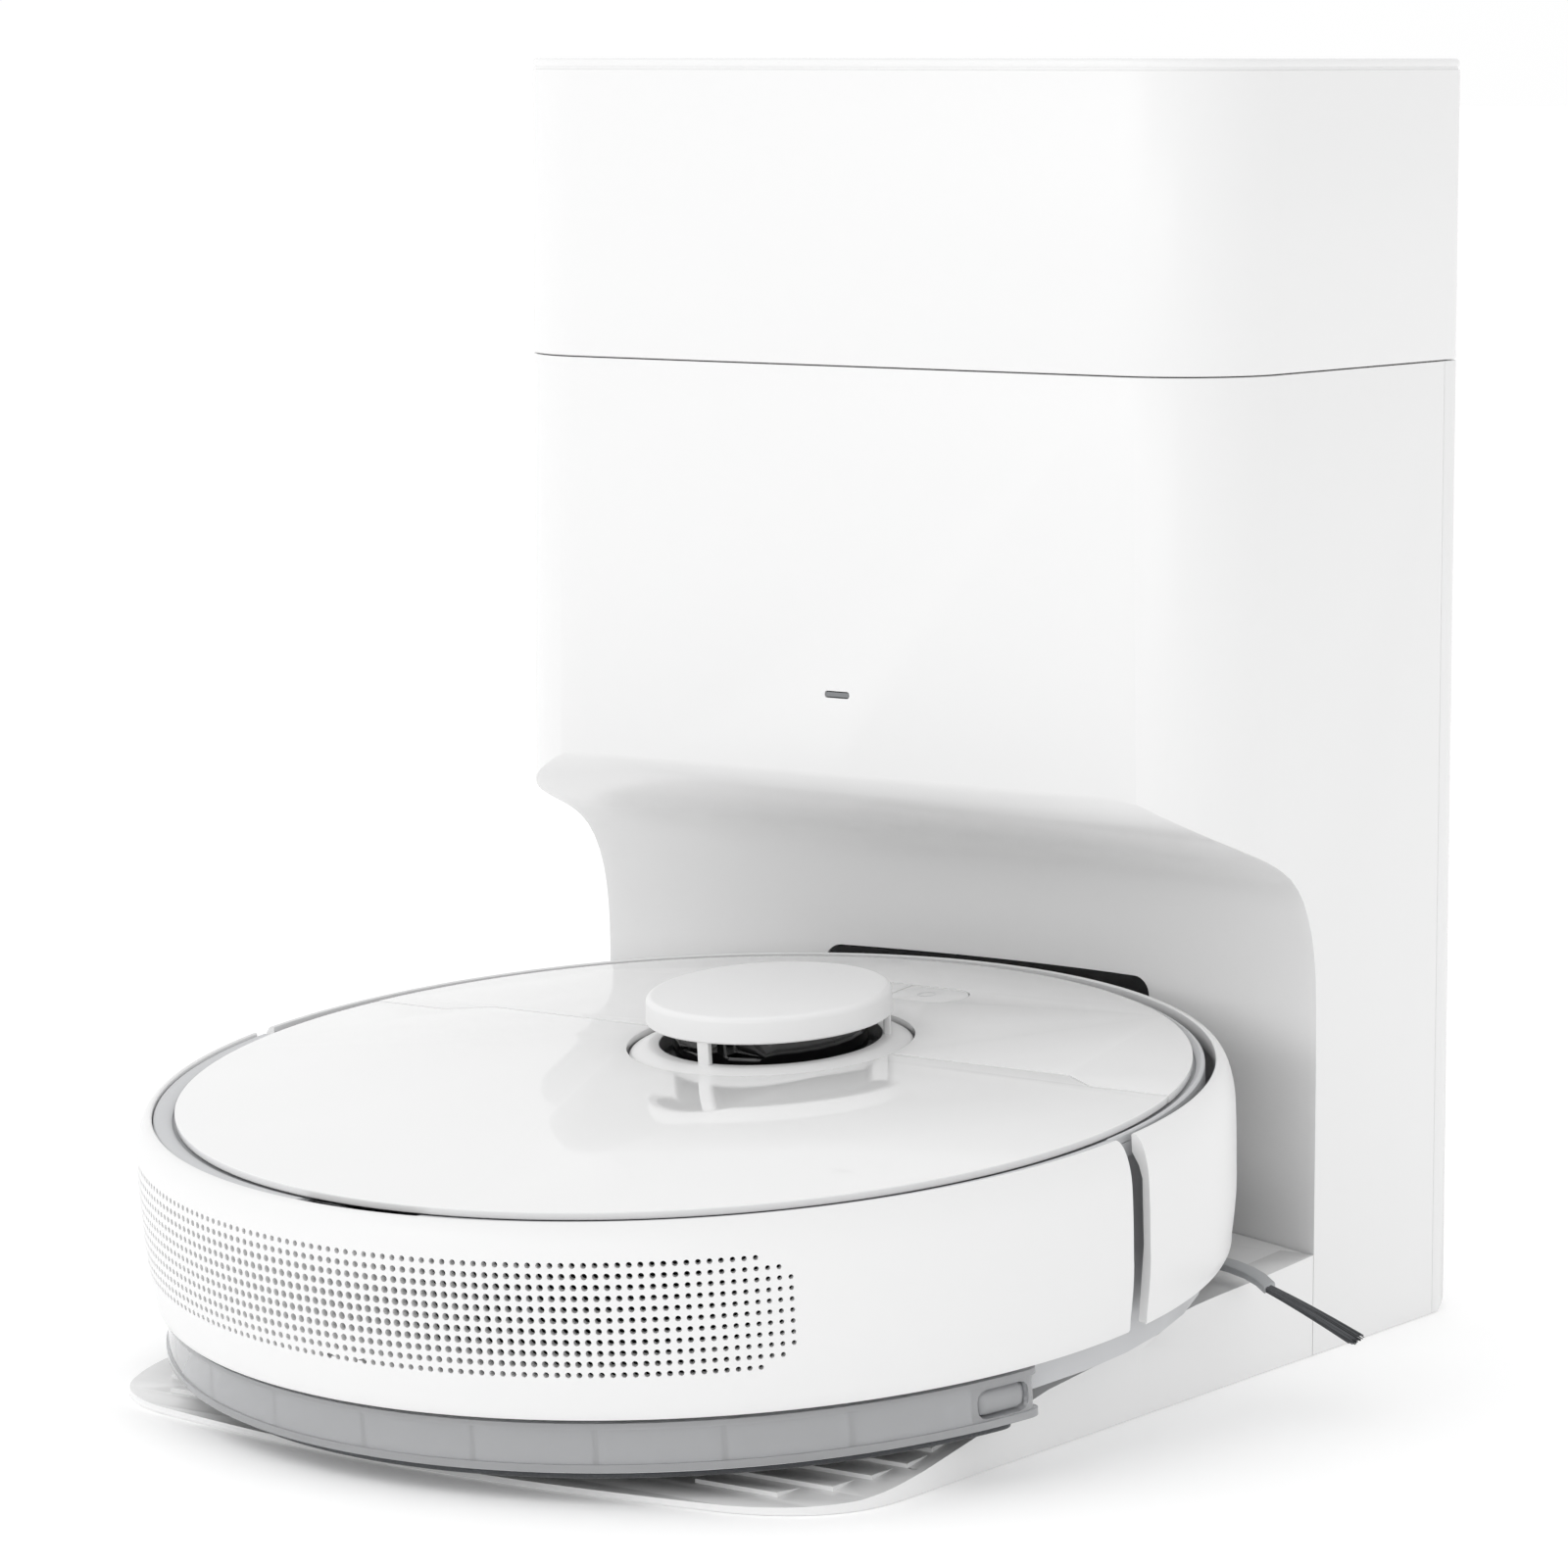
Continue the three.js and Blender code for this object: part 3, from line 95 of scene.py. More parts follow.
def chain(name, points, closed):
    """A line of edges, drawn point after point by extruding the last one. Points are in millimetres."""
    deselect()
    bpy.ops.mesh.primitive_plane_add(size=1 * MM, location=(0, 0, 0))
    piece = bpy.context.object
    piece.name = name
    piece.data.name = name
    bpy.ops.object.mode_set(mode="EDIT")
    bpy.ops.mesh.select_all(action="SELECT")
    bpy.ops.mesh.merge(type="CENTER")
    bpy.ops.transform.translate(value=Vector(points[0]) * MM)
    for before, after in zip(points, points[1:]):
        step = (Vector(after) - Vector(before)) * MM
        bpy.ops.mesh.extrude_region_move(TRANSFORM_OT_translate={"value": step})
    bpy.ops.mesh.select_all(action="SELECT")
    if closed:
        bpy.ops.mesh.edge_face_add()
    return piece


def turned(name, section, steps=192, centre=(0, 0), angle=360.0):
    """A closed section of (radius, height) points, spun about an upright axis."""
    points = [(centre[0] + r, centre[1], z) for r, z in section]
    piece = chain(name, points + points[:1], False)
    bpy.ops.mesh.spin(
        steps=steps,
        angle=math.radians(angle),
        center=(centre[0] * MM, centre[1] * MM, 0),
        axis=(0, 0, 1),
    )
    bpy.ops.mesh.select_all(action="SELECT")
    bpy.ops.mesh.remove_doubles(threshold=1e-6)
    if angle < 360:
        bpy.ops.mesh.select_all(action="DESELECT")
        bpy.ops.mesh.select_non_manifold()
        bpy.ops.mesh.edge_face_add()
        bpy.ops.mesh.select_all(action="SELECT")
    bpy.ops.mesh.delete_loose()
    bpy.ops.mesh.select_all(action="SELECT")
    bpy.ops.mesh.normals_make_consistent(inside=False)
    leave_edit()
    return piece


def drawn_up(name, plan, low, high):
    """A plan of (x, y) points, drawn up from one height to another."""
    piece = chain(name, [(x, y, low) for x, y in plan], True)
    bpy.ops.mesh.extrude_region_move(TRANSFORM_OT_translate={"value": (0, 0, (high - low) * MM)})
    bpy.ops.mesh.select_all(action="SELECT")
    bpy.ops.mesh.normals_make_consistent(inside=False)
    leave_edit()
    return piece


def drawn_across(name, section, left, right):
    """A section of (y, z) points, drawn across from one x to another."""
    piece = chain(name, [(left, y, z) for y, z in section], True)
    bpy.ops.mesh.extrude_region_move(TRANSFORM_OT_translate={"value": ((right - left) * MM, 0, 0)})
    bpy.ops.mesh.select_all(action="SELECT")
    bpy.ops.mesh.normals_make_consistent(inside=False)
    leave_edit()
    return piece


def block(name, x, y, z, edge=0.0):
    """A box between pairs of millimetre limits, with its edges bevelled."""
    deselect()
    middle = [(a + b) / 2 * MM for a, b in (x, y, z)]
    bpy.ops.mesh.primitive_cube_add(size=1, location=(0, 0, 0))
    piece = bpy.context.object
    piece.name = name
    piece.data.name = name
    bpy.ops.object.mode_set(mode="EDIT")
    bpy.ops.mesh.select_all(action="SELECT")
    bpy.ops.transform.resize(value=[abs(b - a) * MM for a, b in (x, y, z)])
    bpy.ops.transform.translate(value=middle)
    if edge:
        bpy.ops.mesh.bevel(offset=edge * MM, segments=3, affect="EDGES")
    leave_edit()
    return piece


def apply(piece, kind, **settings):
    deselect()
    bpy.context.view_layer.objects.active = piece
    piece.select_set(True)
    modifier = piece.modifiers.new(kind.title(), kind)
    for name, value in settings.items():
        setattr(modifier, name, value)
    bpy.ops.object.modifier_apply(modifier=modifier.name)
    return piece


def carve(piece, tool, operation="DIFFERENCE"):
    """Cuts piece with tool, or joins or trims it, and throws the tool away."""
    apply(piece, "BOOLEAN", operation=operation, object=tool, solver="MANIFOLD")
    mesh = tool.data
    bpy.data.objects.remove(tool)
    bpy.data.meshes.remove(mesh)
    return piece


def rounded(piece, width, segments=3, angle=35):
    return apply(
        piece,
        "BEVEL",
        width=width * MM,
        segments=segments,
        limit_method="ANGLE",
        angle_limit=math.radians(angle),
        use_clamp_overlap=True,
        miter_outer="MITER_ARC",
    )


def smooth(piece, angle=35):
    deselect()
    bpy.context.view_layer.objects.active = piece
    piece.select_set(True)
    bpy.ops.object.shade_smooth_by_angle(angle=math.radians(angle))
    return piece


def trim(piece, point, normal):
    """Cuts a piece off on the side that normal points to, and closes the cut."""
    edit(piece)
    bpy.ops.mesh.bisect(
        plane_co=Vector(point) * MM,
        plane_no=normal,
        use_fill=True,
        clear_outer=True,
        clear_inner=False,
    )
    leave_edit()
    return piece


def put(piece, matrix):
    """Moves the mesh, and leaves the object at the origin."""
    piece.data.transform(matrix)
    piece.data.update()
    return piece


def copied(name, node):
    """A merged copy of a CAD node, to be finished further."""
    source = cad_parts[node]
    mesh = source.data.copy()
    mesh.materials.clear()
    piece = bpy.data.objects.new(name, mesh)
    mesh.name = name
    bpy.context.scene.collection.objects.link(piece)
    edit(piece)
    bpy.ops.mesh.remove_doubles(threshold=2e-6)
    bpy.ops.mesh.dissolve_limited(angle_limit=math.radians(0.3))
    bpy.ops.mesh.normals_make_consistent(inside=False)
    leave_edit()
    return piece


def fit(piece, body, slot, material, *nodes):
    """Hands a finished piece to the frame."""
    piece.data.materials.clear()
    piece.data.materials.append(material)
    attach(piece, body)
    if nodes:
        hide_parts(*nodes)
    return piece


def arc(cx, cy, r, start, end, steps):
    """Points round an arc, in degrees."""
    turn = [math.radians(start + (end - start) * i / steps) for i in range(steps + 1)]
    return [(cx + r * math.cos(a), cy + r * math.sin(a)) for a in turn]


# ---- Materials ------------------------------------------------------------------------------------


def linear(code):
    """An sRGB hex colour as linear RGBA."""
    parts = [int(code[i : i + 2], 16) / 255 for i in (1, 3, 5)]
    return [c / 12.92 if c <= 0.04045 else ((c + 0.055) / 1.055) ** 2.4 for c in parts] + [1.0]


def add(tree, kind, settings=None, inputs=None, links=None):
    """A node with its settings, its input values and its links, given as input: (node, output)."""
    node = tree.nodes.new(kind)
    for name, value in (settings or {}).items():
        setattr(node, name, value)
    for name, value in (inputs or {}).items():
        node.inputs[name].default_value = value
    for name, (source, output) in (links or {}).items():
        tree.links.new(source.outputs[output], node.inputs[name])
    return node


def fresh(name):
    """A material with only its surface shader, its coordinates and the tree to add to."""
    material = bpy.data.materials.new(name)
    material.use_nodes = True
    tree = material.node_tree
    shader = tree.nodes["Principled BSDF"]
    place = add(tree, "ShaderNodeTexCoord")
    return material, tree, shader, place


def moulded(name, colour, roughness, grain_mm=0.0, grain=0.0, coat=0.0, shift=0.06):
    """Injection-moulded plastic: sheen varies a little over the part, and a textured tool leaves a grain."""
    material, tree, shader, place = fresh(name)
    shader.inputs["Base Color"].default_value = linear(colour)
    shader.inputs["IOR"].default_value = 1.5
    shader.inputs["Coat Weight"].default_value = coat
    shader.inputs["Coat Roughness"].default_value = 0.04
    flow = add(
        tree,
        "ShaderNodeTexNoise",
        inputs={"Scale": 9.0, "Detail": 3.0},
        links={"Vector": (place, "Object")},
    )
    sheen = add(
        tree,
        "ShaderNodeMapRange",
        inputs={"To Min": max(0.02, roughness - shift), "To Max": roughness + shift},
        links={"Value": (flow, "Fac")},
    )
    tree.links.new(sheen.outputs["Result"], shader.inputs["Roughness"])
    if grain:
        pits = add(
            tree,
            "ShaderNodeTexNoise",
            inputs={"Scale": 1 / (grain_mm * MM), "Detail": 2.0},
            links={"Vector": (place, "Object")},
        )
        bump = add(
            tree,
            "ShaderNodeBump",
            inputs={"Strength": grain, "Distance": 0.1 * MM},
            links={"Height": (pits, "Fac")},
        )
        tree.links.new(bump.outputs["Normal"], shader.inputs["Normal"])
    return material


def white_abs():
    # Satin white ABS, spark-eroded tool: soft broad highlights, a grain of about 0.5 mm.
    return moulded("white ABS satin moulded", "#ebebeb", 0.34, 0.5, 0.05)


def dock_abs():
    # White ABS, polished tool: clearer reflections on the tall faces, no grain.
    return moulded("white ABS semi-gloss moulded", "#ececec", 0.24, shift=0.03)


def plate_acrylic():
    # White acrylic plate, polished: mirror-like reflections under a clear skin.
    return moulded("white acrylic polished", "#efefef", 0.05, coat=0.1, shift=0.02)


def grey_pc():
    # Light grey polycarbonate, fine texture of 0.4 mm: even, almost no shine.
    return moulded("light grey polycarbonate textured", "#c9cacc", 0.46, 0.4, 0.12)


def dark_pc():
    # Dark grey glass-filled nylon, texture of 0.6 mm: dull with faint mottling.
    return moulded("dark grey glass-filled nylon", "#3b3d40", 0.52, 0.6, 0.2)


def infrared_window():
    # Infrared-clear polycarbonate, polished: reads as black glass.
    return moulded("black infrared polycarbonate polished", "#0b0b0c", 0.07, coat=0.4, shift=0.02)


def soft_rubber():
    # Moulded thermoplastic rubber, grain of 0.8 mm: dark, soft sheen.
    return moulded("black thermoplastic rubber", "#1c1c1d", 0.68, 0.8, 0.3)


def sleeve_rubber():
    # Light grey thermoplastic rubber, grain of 0.6 mm: soft and dull.
    return moulded("grey thermoplastic rubber", "#a9abad", 0.6, 0.6, 0.2)


def light_guide():
    # Frosted acrylic light guide, unlit: mid grey, softly shining.
    return moulded("frosted acrylic light guide", "#7d7f81", 0.35, 0.3, 0.05)


def solder_mask():
    # Green solder mask over copper, 1.2 mm track spacing drawn coarse: faint raised lines.
    material, tree, shader, place = fresh("green solder mask")
    tracks = add(
        tree,
        "ShaderNodeTexBrick",
        inputs={
            "Scale": 160.0,
            "Color1": linear("#14532f"),
            "Color2": linear("#1a6238"),
            "Mortar": linear("#2b7d4b"),
            "Mortar Size": 0.04,
        },
        links={"Vector": (place, "Object")},
    )
    tree.links.new(tracks.outputs["Color"], shader.inputs["Base Color"])
    shader.inputs["Roughness"].default_value = 0.3
    return material


def shrink_film():
    # Dark blue PVC shrink film: thin gloss with slow ripples of about 8 mm.
    material, tree, shader, place = fresh("blue PVC shrink film")
    shader.inputs["Base Color"].default_value = linear("#16233d")
    shader.inputs["Roughness"].default_value = 0.2
    ripple = add(tree, "ShaderNodeTexNoise", inputs={"Scale": 120.0}, links={"Vector": (place, "Object")})
    bump = add(
        tree,
        "ShaderNodeBump",
        inputs={"Strength": 0.25, "Distance": 0.4 * MM},
        links={"Height": (ripple, "Fac")},
    )
    tree.links.new(bump.outputs["Normal"], shader.inputs["Normal"])
    return material


def nickel_plate():
    # Nickel-plated spring steel: bright, with fine rub marks along the travel.
    material, tree, shader, place = fresh("nickel-plated spring steel")
    shader.inputs["Base Color"].default_value = linear("#d2cec4")
    shader.inputs["Metallic"].default_value = 1.0
    along = add(
        tree, "ShaderNodeMapping", inputs={"Scale": (900, 60, 900)}, links={"Vector": (place, "Object")}
    )
    rub = add(tree, "ShaderNodeTexNoise", inputs={"Scale": 1.0}, links={"Vector": (along, "Vector")})
    shine = add(
        tree,
        "ShaderNodeMapRange",
        inputs={"To Min": 0.18, "To Max": 0.34},
        links={"Value": (rub, "Fac")},
    )
    tree.links.new(shine.outputs["Result"], shader.inputs["Roughness"])
    return material


def fleece(name, colour, scale_mm, strength):
    """Bonded or knitted fibres: crossing fibre noise in colour and height."""
    material, tree, shader, place = fresh(name)
    fibres = add(
        tree,
        "ShaderNodeTexNoise",
        inputs={"Scale": 1 / (scale_mm * MM), "Detail": 6.0, "Roughness": 0.7},
        links={"Vector": (place, "Object")},
    )
    shade = add(
        tree,
        "ShaderNodeMapRange",
        inputs={"From Min": 0.3, "From Max": 0.7, "To Min": 0.82, "To Max": 1.0},
        links={"Value": (fibres, "Fac")},
    )
    tint = add(
        tree,
        "ShaderNodeMix",
        {"data_type": "RGBA", "blend_type": "MULTIPLY"},
        {"Factor": 1.0, 6: linear(colour)},
        {7: (shade, "Result")},
    )
    bump = add(
        tree,
        "ShaderNodeBump",
        inputs={"Strength": strength, "Distance": 0.5 * MM},
        links={"Height": (fibres, "Fac")},
    )
    tree.links.new(tint.outputs[2], shader.inputs["Base Color"])
    tree.links.new(bump.outputs["Normal"], shader.inputs["Normal"])
    shader.inputs["Roughness"].default_value = 0.95
    shader.inputs["Sheen Weight"].default_value = 0.3
    return material


def filter_paper():
    # Glass-fibre filter paper, fibres of 0.6 mm: off-white and fully matt.
    return fleece("pleated filter paper", "#e8e4da", 0.6, 0.3)


def bag_fleece():
    # Bonded polypropylene fleece, fibres of 1 mm: off-white, slightly mottled.
    return fleece("bonded bag fleece", "#dedbd2", 1.0, 0.5)


def mop_cloth():
    # Microfibre cloth, loops of 1.2 mm: dark grey and deep.
    return fleece("microfibre mop cloth", "#4c4e51", 1.2, 1.0)


def smoke_tint(name, colour, alpha_rough=0.06, transmission=0.82):
    """Clear tinted polycarbonate with the faint waves of a thick moulding."""
    material, tree, shader, place = fresh(name)
    shader.inputs["Base Color"].default_value = linear(colour)
    shader.inputs["Roughness"].default_value = alpha_rough
    shader.inputs["IOR"].default_value = 1.45
    shader.inputs["Transmission Weight"].default_value = transmission
    waves = add(
        tree,
        "ShaderNodeTexNoise",
        inputs={"Scale": 45.0, "Detail": 1.0},
        links={"Vector": (place, "Object")},
    )
    bump = add(
        tree,
        "ShaderNodeBump",
        inputs={"Strength": 0.25, "Distance": 1.0 * MM},
        links={"Height": (waves, "Fac")},
    )
    tree.links.new(bump.outputs["Normal"], shader.inputs["Normal"])
    return material


def tank_polycarbonate():
    # Smoke-tinted polycarbonate, polished: lets the tank's inside show, with lens-like edges.
    return smoke_tint("smoke-tinted polycarbonate", "#e2e3e5", transmission=0.6)


def bristle_nylon():
    # Nylon bristles, 0.2 mm thick drawn as 0.5 mm so that they show: dark grey, waxy.
    return moulded("dark grey nylon bristle", "#4a4c4f", 0.4, shift=0.04)


def pale_floor():
    # Painted studio floor: white, matt, slightly cloudy, with a little light of its own so that it
    # stays white up to its far end.
    material = moulded("studio floor paint", "#ffffff", 0.8, shift=0.03)
    shader = material.node_tree.nodes["Principled BSDF"]
    shader.inputs["Emission Color"].default_value = (1, 1, 1, 1)
    shader.inputs["Emission Strength"].default_value = 0.12
    return material


MATERIALS = {}


def finish_of(name):
    """Each material is made once, when it is first asked for."""
    if name not in MATERIALS:
        MATERIALS[name] = MAKERS[name]()
    return MATERIALS[name]


MAKERS = {
    "white_abs": white_abs,
    "dock_abs": dock_abs,
    "plate": plate_acrylic,
    "grey": grey_pc,
    "dark": dark_pc,
    "window": infrared_window,
    "rubber": soft_rubber,
    "sleeve": sleeve_rubber,
    "light": light_guide,
    "board": solder_mask,
    "film": shrink_film,
    "nickel": nickel_plate,
    "paper": filter_paper,
    "bag": bag_fleece,
    "mop": mop_cloth,
    "smoke": tank_polycarbonate,
    "bristle": bristle_nylon,
    "floor": pale_floor,
}

# The material of each CAD node that keeps its own shape.
CARRIED = {
    "suction_duct": "dark",
    "inlet_seal": "rubber",
    "dust_bag_collar": "dark",
    "dock_fan_impeller": "dark",
    "dock_motor_filter": "paper",
    "status_light": "light",
    "dock_circuit_board": "board",
    "mains_inlet": "dark",
    "contact_left": "nickel",
    "contact_right": "nickel",
    "vent_liner": "rubber",
    "main_board": "board",
    "fan_impeller": "dark",
    "dust_filter": "paper",
}


# ---- Sizes that a user may change -----------------------------------------------------------------


def length(name, description, default):
    return bpy.props.FloatProperty(
        name=name, description=description, default=default, unit="LENGTH", precision=4
    )


class DockSizes(bpy.types.PropertyGroup):
    corner: length("Front corner", "Radius of the tower's two front corners", 0.037)
    wall: length("Wall", "Wall thickness of the tower and its lid", 0.003)
    soft_edge: length("Soft edge", "Rounding where the parking bay meets the tower's sides", 0.0016)
    lid_edge: length("Lid edge", "Rounding of the lid's top edge", 0.0012)
    rib_height: length("Rib height", "Height of the grip ribs on the ramp", 0.0013)
    rib_pitch: length("Rib spacing", "Distance between the grip ribs on the ramp", 0.0128)


class RobotSizes(bpy.types.PropertyGroup):
    radius: length("Radius", "Radius of the round body", 0.175)
    plate_radius: length("Plate radius", "Radius of the polished top plate", 0.162)
    vent_pitch: length("Vent spacing", "Distance between rows of exhaust holes", 0.00335)
    vent_small: length("Small vent", "Diameter of the outermost exhaust holes", 0.0015)
    vent_large: length("Large vent", "Diameter of the exhaust holes in the middle", 0.0024)
    bristle: length("Bristle", "Thickness of one drawn bristle", 0.0005)


class StageLook(bpy.types.PropertyGroup):
    sky: bpy.props.FloatVectorProperty(
        name="Sky colour",
        description="Colour of the even light all round",
        default=(1.0, 1.0, 1.0),
        subtype="COLOR",
        size=3,
        min=0.0,
        max=1.0,
    )
    sky_strength: bpy.props.FloatProperty(
        name="Sky strength", description="Strength of the even light all round", default=1.04, min=0.0
    )
    key_power: bpy.props.FloatProperty(
        name="Key light", description="Power of the large soft light", default=4.2, min=0.0, unit="POWER"
    )


# ---- Dock -----------------------------------------------------------------------------------------

HALF = 144.0
DOCK_FRONT = 85.0
DOCK_BACK = 246.0
DOCK_TOP = 421.7
SEAM = 322.0
COVER_DEPTH = 15.0
BACK_CORNER = 10.0
BAY_SIDE_Y = 151.5
BAY_MIDDLE_Y = 179.0
BAY_R = (HALF**2 + (BAY_MIDDLE_Y - BAY_SIDE_Y) ** 2) / (2 * (BAY_MIDDLE_Y - BAY_SIDE_Y))
GAP = 0.4

# The bay's section, as (share of the way from the tower's front to the bay's back wall, height).
BAY_CURVE = [
    (1.0, -5), (1.0, 60), (1.0, 104), (0.999, 112), (0.995, 119), (0.986, 126), (0.97, 133), (0.945, 139.5),
    (0.91, 145.5), (0.865, 150.8), (0.81, 155.3), (0.745, 159), (0.67, 162), (0.59, 164.5), (0.51, 166.7),
    (0.43, 168.8), (0.35, 170.9), (0.275, 173.1), (0.205, 175.4), (0.145, 177.8), (0.09, 180.4),
    (0.045, 183.2), (0.012, 186.6), (-0.01, 190.5), (-1.2, 190.5), (-1.2, -5),
]


def bay_wall(x):
    """How far back the bay's hollow wall stands at x."""
    return BAY_MIDDLE_Y - BAY_R + math.sqrt(BAY_R**2 - x**2)


def tower_plan(inset, corner, back, back_corner):
    x, y = HALF - inset, DOCK_FRONT + inset
    r, b = corner - inset, max(back_corner - inset, 0.01)
    points = [(-x, back - b)] if back_corner else [(-x, back)]
    points += arc(-x + r, y + r, r, 180, 270, 28) + arc(x - r, y + r, r, 270, 360, 28)
    if back_corner:
        return points + arc(x - b, back - b, b, 0, 90, 12) + arc(-x + b, back - b, b, 90, 179, 12)
    return points + [(x, back)]


def bay_room(name, grow):
    """The room that the robot parks in, drawn across in steps that follow the hollow back wall."""
    reach, steps = HALF + 6, 60
    depth = bay_wall(-reach) + grow - DOCK_FRONT
    section = [(DOCK_FRONT + share * depth, z + (grow if z > -1 else 0)) for share, z in BAY_CURVE]
    piece = chain(name, [(-reach, y, z) for y, z in section], True)
    for i in range(steps):
        x = -reach + 2 * reach * (i + 1) / steps
        deeper = bay_wall(x) + grow - DOCK_FRONT
        bpy.ops.mesh.extrude_region_move(TRANSFORM_OT_translate={"value": (2 * reach / steps * MM, 0, 0)})
        bpy.ops.transform.resize(value=(1, deeper / depth, 1), center_override=(x * MM, DOCK_FRONT * MM, 0))
        depth = deeper
    bpy.ops.mesh.select_all(action="SELECT")
    bpy.ops.mesh.normals_make_consistent(inside=False)
    leave_edit()
    return piece


def rod(name, r, low, high, x=0.0, y=0.0, sides=64):
    return drawn_up(name, arc(x, y, r, 0, 360 - 360 / sides, sides - 1), low, high)


WINDOW_TOP = 115.0


def window_bar(name, half, low, high, r):
    """A rounded rectangle seen from the front, drawn back through the bay's wall."""
    plan = arc(half - r, low + r, r, -90, 0, 8) + arc(half - r, high - r, r, 0, 90, 8)
    plan += arc(-half + r, high - r, r, 90, 180, 8) + arc(-half + r, low + r, r, 180, 270, 8)
    piece = chain(name, [(x, 150, z) for x, z in plan], True)
    bpy.ops.mesh.extrude_region_move(TRANSFORM_OT_translate={"value": (0, 40 * MM, 0)})
    bpy.ops.mesh.select_all(action="SELECT")
    bpy.ops.mesh.normals_make_consistent(inside=False)
    leave_edit()
    return piece


class BuildTower(bpy.types.Operator):
    """The dock's tower: rounded front, hollow parking bay, bag room inside."""

    bl_idname = "vacuum.tower"
    bl_label = "Tower"

    def execute(self, context):
        size = context.scene.dock_sizes
        corner, wall = size.corner / MM, size.wall / MM
        back = DOCK_BACK - COVER_DEPTH - GAP
        tower = drawn_up("tower", tower_plan(0, corner, back, 0), 0, SEAM)
        carve(tower, bay_room("bay", 0))
        rounded(tower, size.soft_edge / MM, 4, 32)
        hollow = drawn_up("hollow", tower_plan(wall, corner, DOCK_BACK, 0), wall, SEAM + 5)
        carve(hollow, bay_room("bay", wall))
        carve(tower, hollow)
        reach = 66 + GAP
        carve(tower, window_bar("slot", reach, 78 - GAP, WINDOW_TOP + GAP, 6.4))
        carve(tower, block("light", (-4.9, 4.9), (80, 90.5), (213.35, 215.65), 0.9))
        carve(tower, block("way", (-25, 25), (140, 190), (wall, 18)))
        for side in (-1, 1):
            carve(tower, rod("pad", 11 + GAP, -1, 2 + GAP, side * 118, 205))
        smooth(tower, 30)
        fit(tower, "dock", "shell_white", finish_of("dock_abs"), "dock_column")
        return {"FINISHED"}


class BuildDockLid(bpy.types.Operator):
    """The dock's lid: one moulding over the bag, with a thin lip under its top face."""

    bl_idname = "vacuum.dock_lid"
    bl_label = "Dock lid"

    def execute(self, context):
        size = context.scene.dock_sizes
        corner, wall = size.corner / MM, size.wall / MM
        low = SEAM + GAP
        lid = drawn_up("lid_shell", tower_plan(0, corner, DOCK_BACK, BACK_CORNER), low, DOCK_TOP - 3.6)
        rounded(lid, 0.5, 3, 60)
        neck_plan = tower_plan(0.7, corner, DOCK_BACK - 0.7, BACK_CORNER)
        neck = drawn_up("neck", neck_plan, DOCK_TOP - 6, DOCK_TOP - 2)
        carve(lid, neck, "UNION")
        top_plan = tower_plan(0.25, corner, DOCK_BACK - 0.25, BACK_CORNER)
        top = drawn_up("top", top_plan, DOCK_TOP - 3.1, DOCK_TOP)
        rounded(top, size.lid_edge / MM, 4, 60)
        carve(lid, top, "UNION")
        room = tower_plan(wall, corner, DOCK_BACK - wall, BACK_CORNER)
        carve(lid, drawn_up("room", room, low - 1, DOCK_TOP - wall - 1.5))
        smooth(lid, 35)
        fit(lid, "dock_lid", "shell_white", finish_of("dock_abs"), "dock_top_lid")
        return {"FINISHED"}


class BuildBackCover(bpy.types.Operator):
    """The dock's back cover with its air slots."""

    bl_idname = "vacuum.back_cover"
    bl_label = "Back cover"

    def execute(self, context):
        cover = copied("back_cover", "dock_back_cover")
        rounded(cover, 0.5, 2, 40)
        smooth(cover, 30)
        fit(cover, "dock", "shell_white", finish_of("dock_abs"), "dock_back_cover")
        return {"FINISHED"}


def ramp_height(y):
    """Height of the ramp's middle, which runs level with the robot's wheels from its knee on."""
    points = [(-150, 1.2), (-141, 1.6), (-104, 3.1), (-76, 6.5), (-43, 12.3), (-8, 18.49), (180, 35.77)]
    for (y0, z0), (y1, z1) in zip(points, points[1:]):
        if y <= y1:
            return z0 + (z1 - z0) * (y - y0) / (y1 - y0)
    return points[-1][1]


def base_plan():
    x, y = HALF, -140.0
    points = [(-x, bay_wall(x) - GAP), (-x, y + 54)]
    corners = [((-x, y + 54), (-x, y + 20), (-x + 34, y + 11)), ((-x + 34, y + 11), (-x / 3, y), (0, y))]
    corners += [((0, y), (x / 3, y), (x - 34, y + 11)), ((x - 34, y + 11), (x, y + 20), (x, y + 54))]
    for a, b, c in corners:
        for i in range(1, 25):
            t = i / 24
            parts = [(1 - t) ** 2 * p + 2 * t * (1 - t) * q + t * t * r for p, q, r in zip(a, b, c)]
            points.append(tuple(parts))
    return points + [(x - 2 * x * i / 40, bay_wall(x - 2 * x * i / 40) - GAP) for i in range(40)]


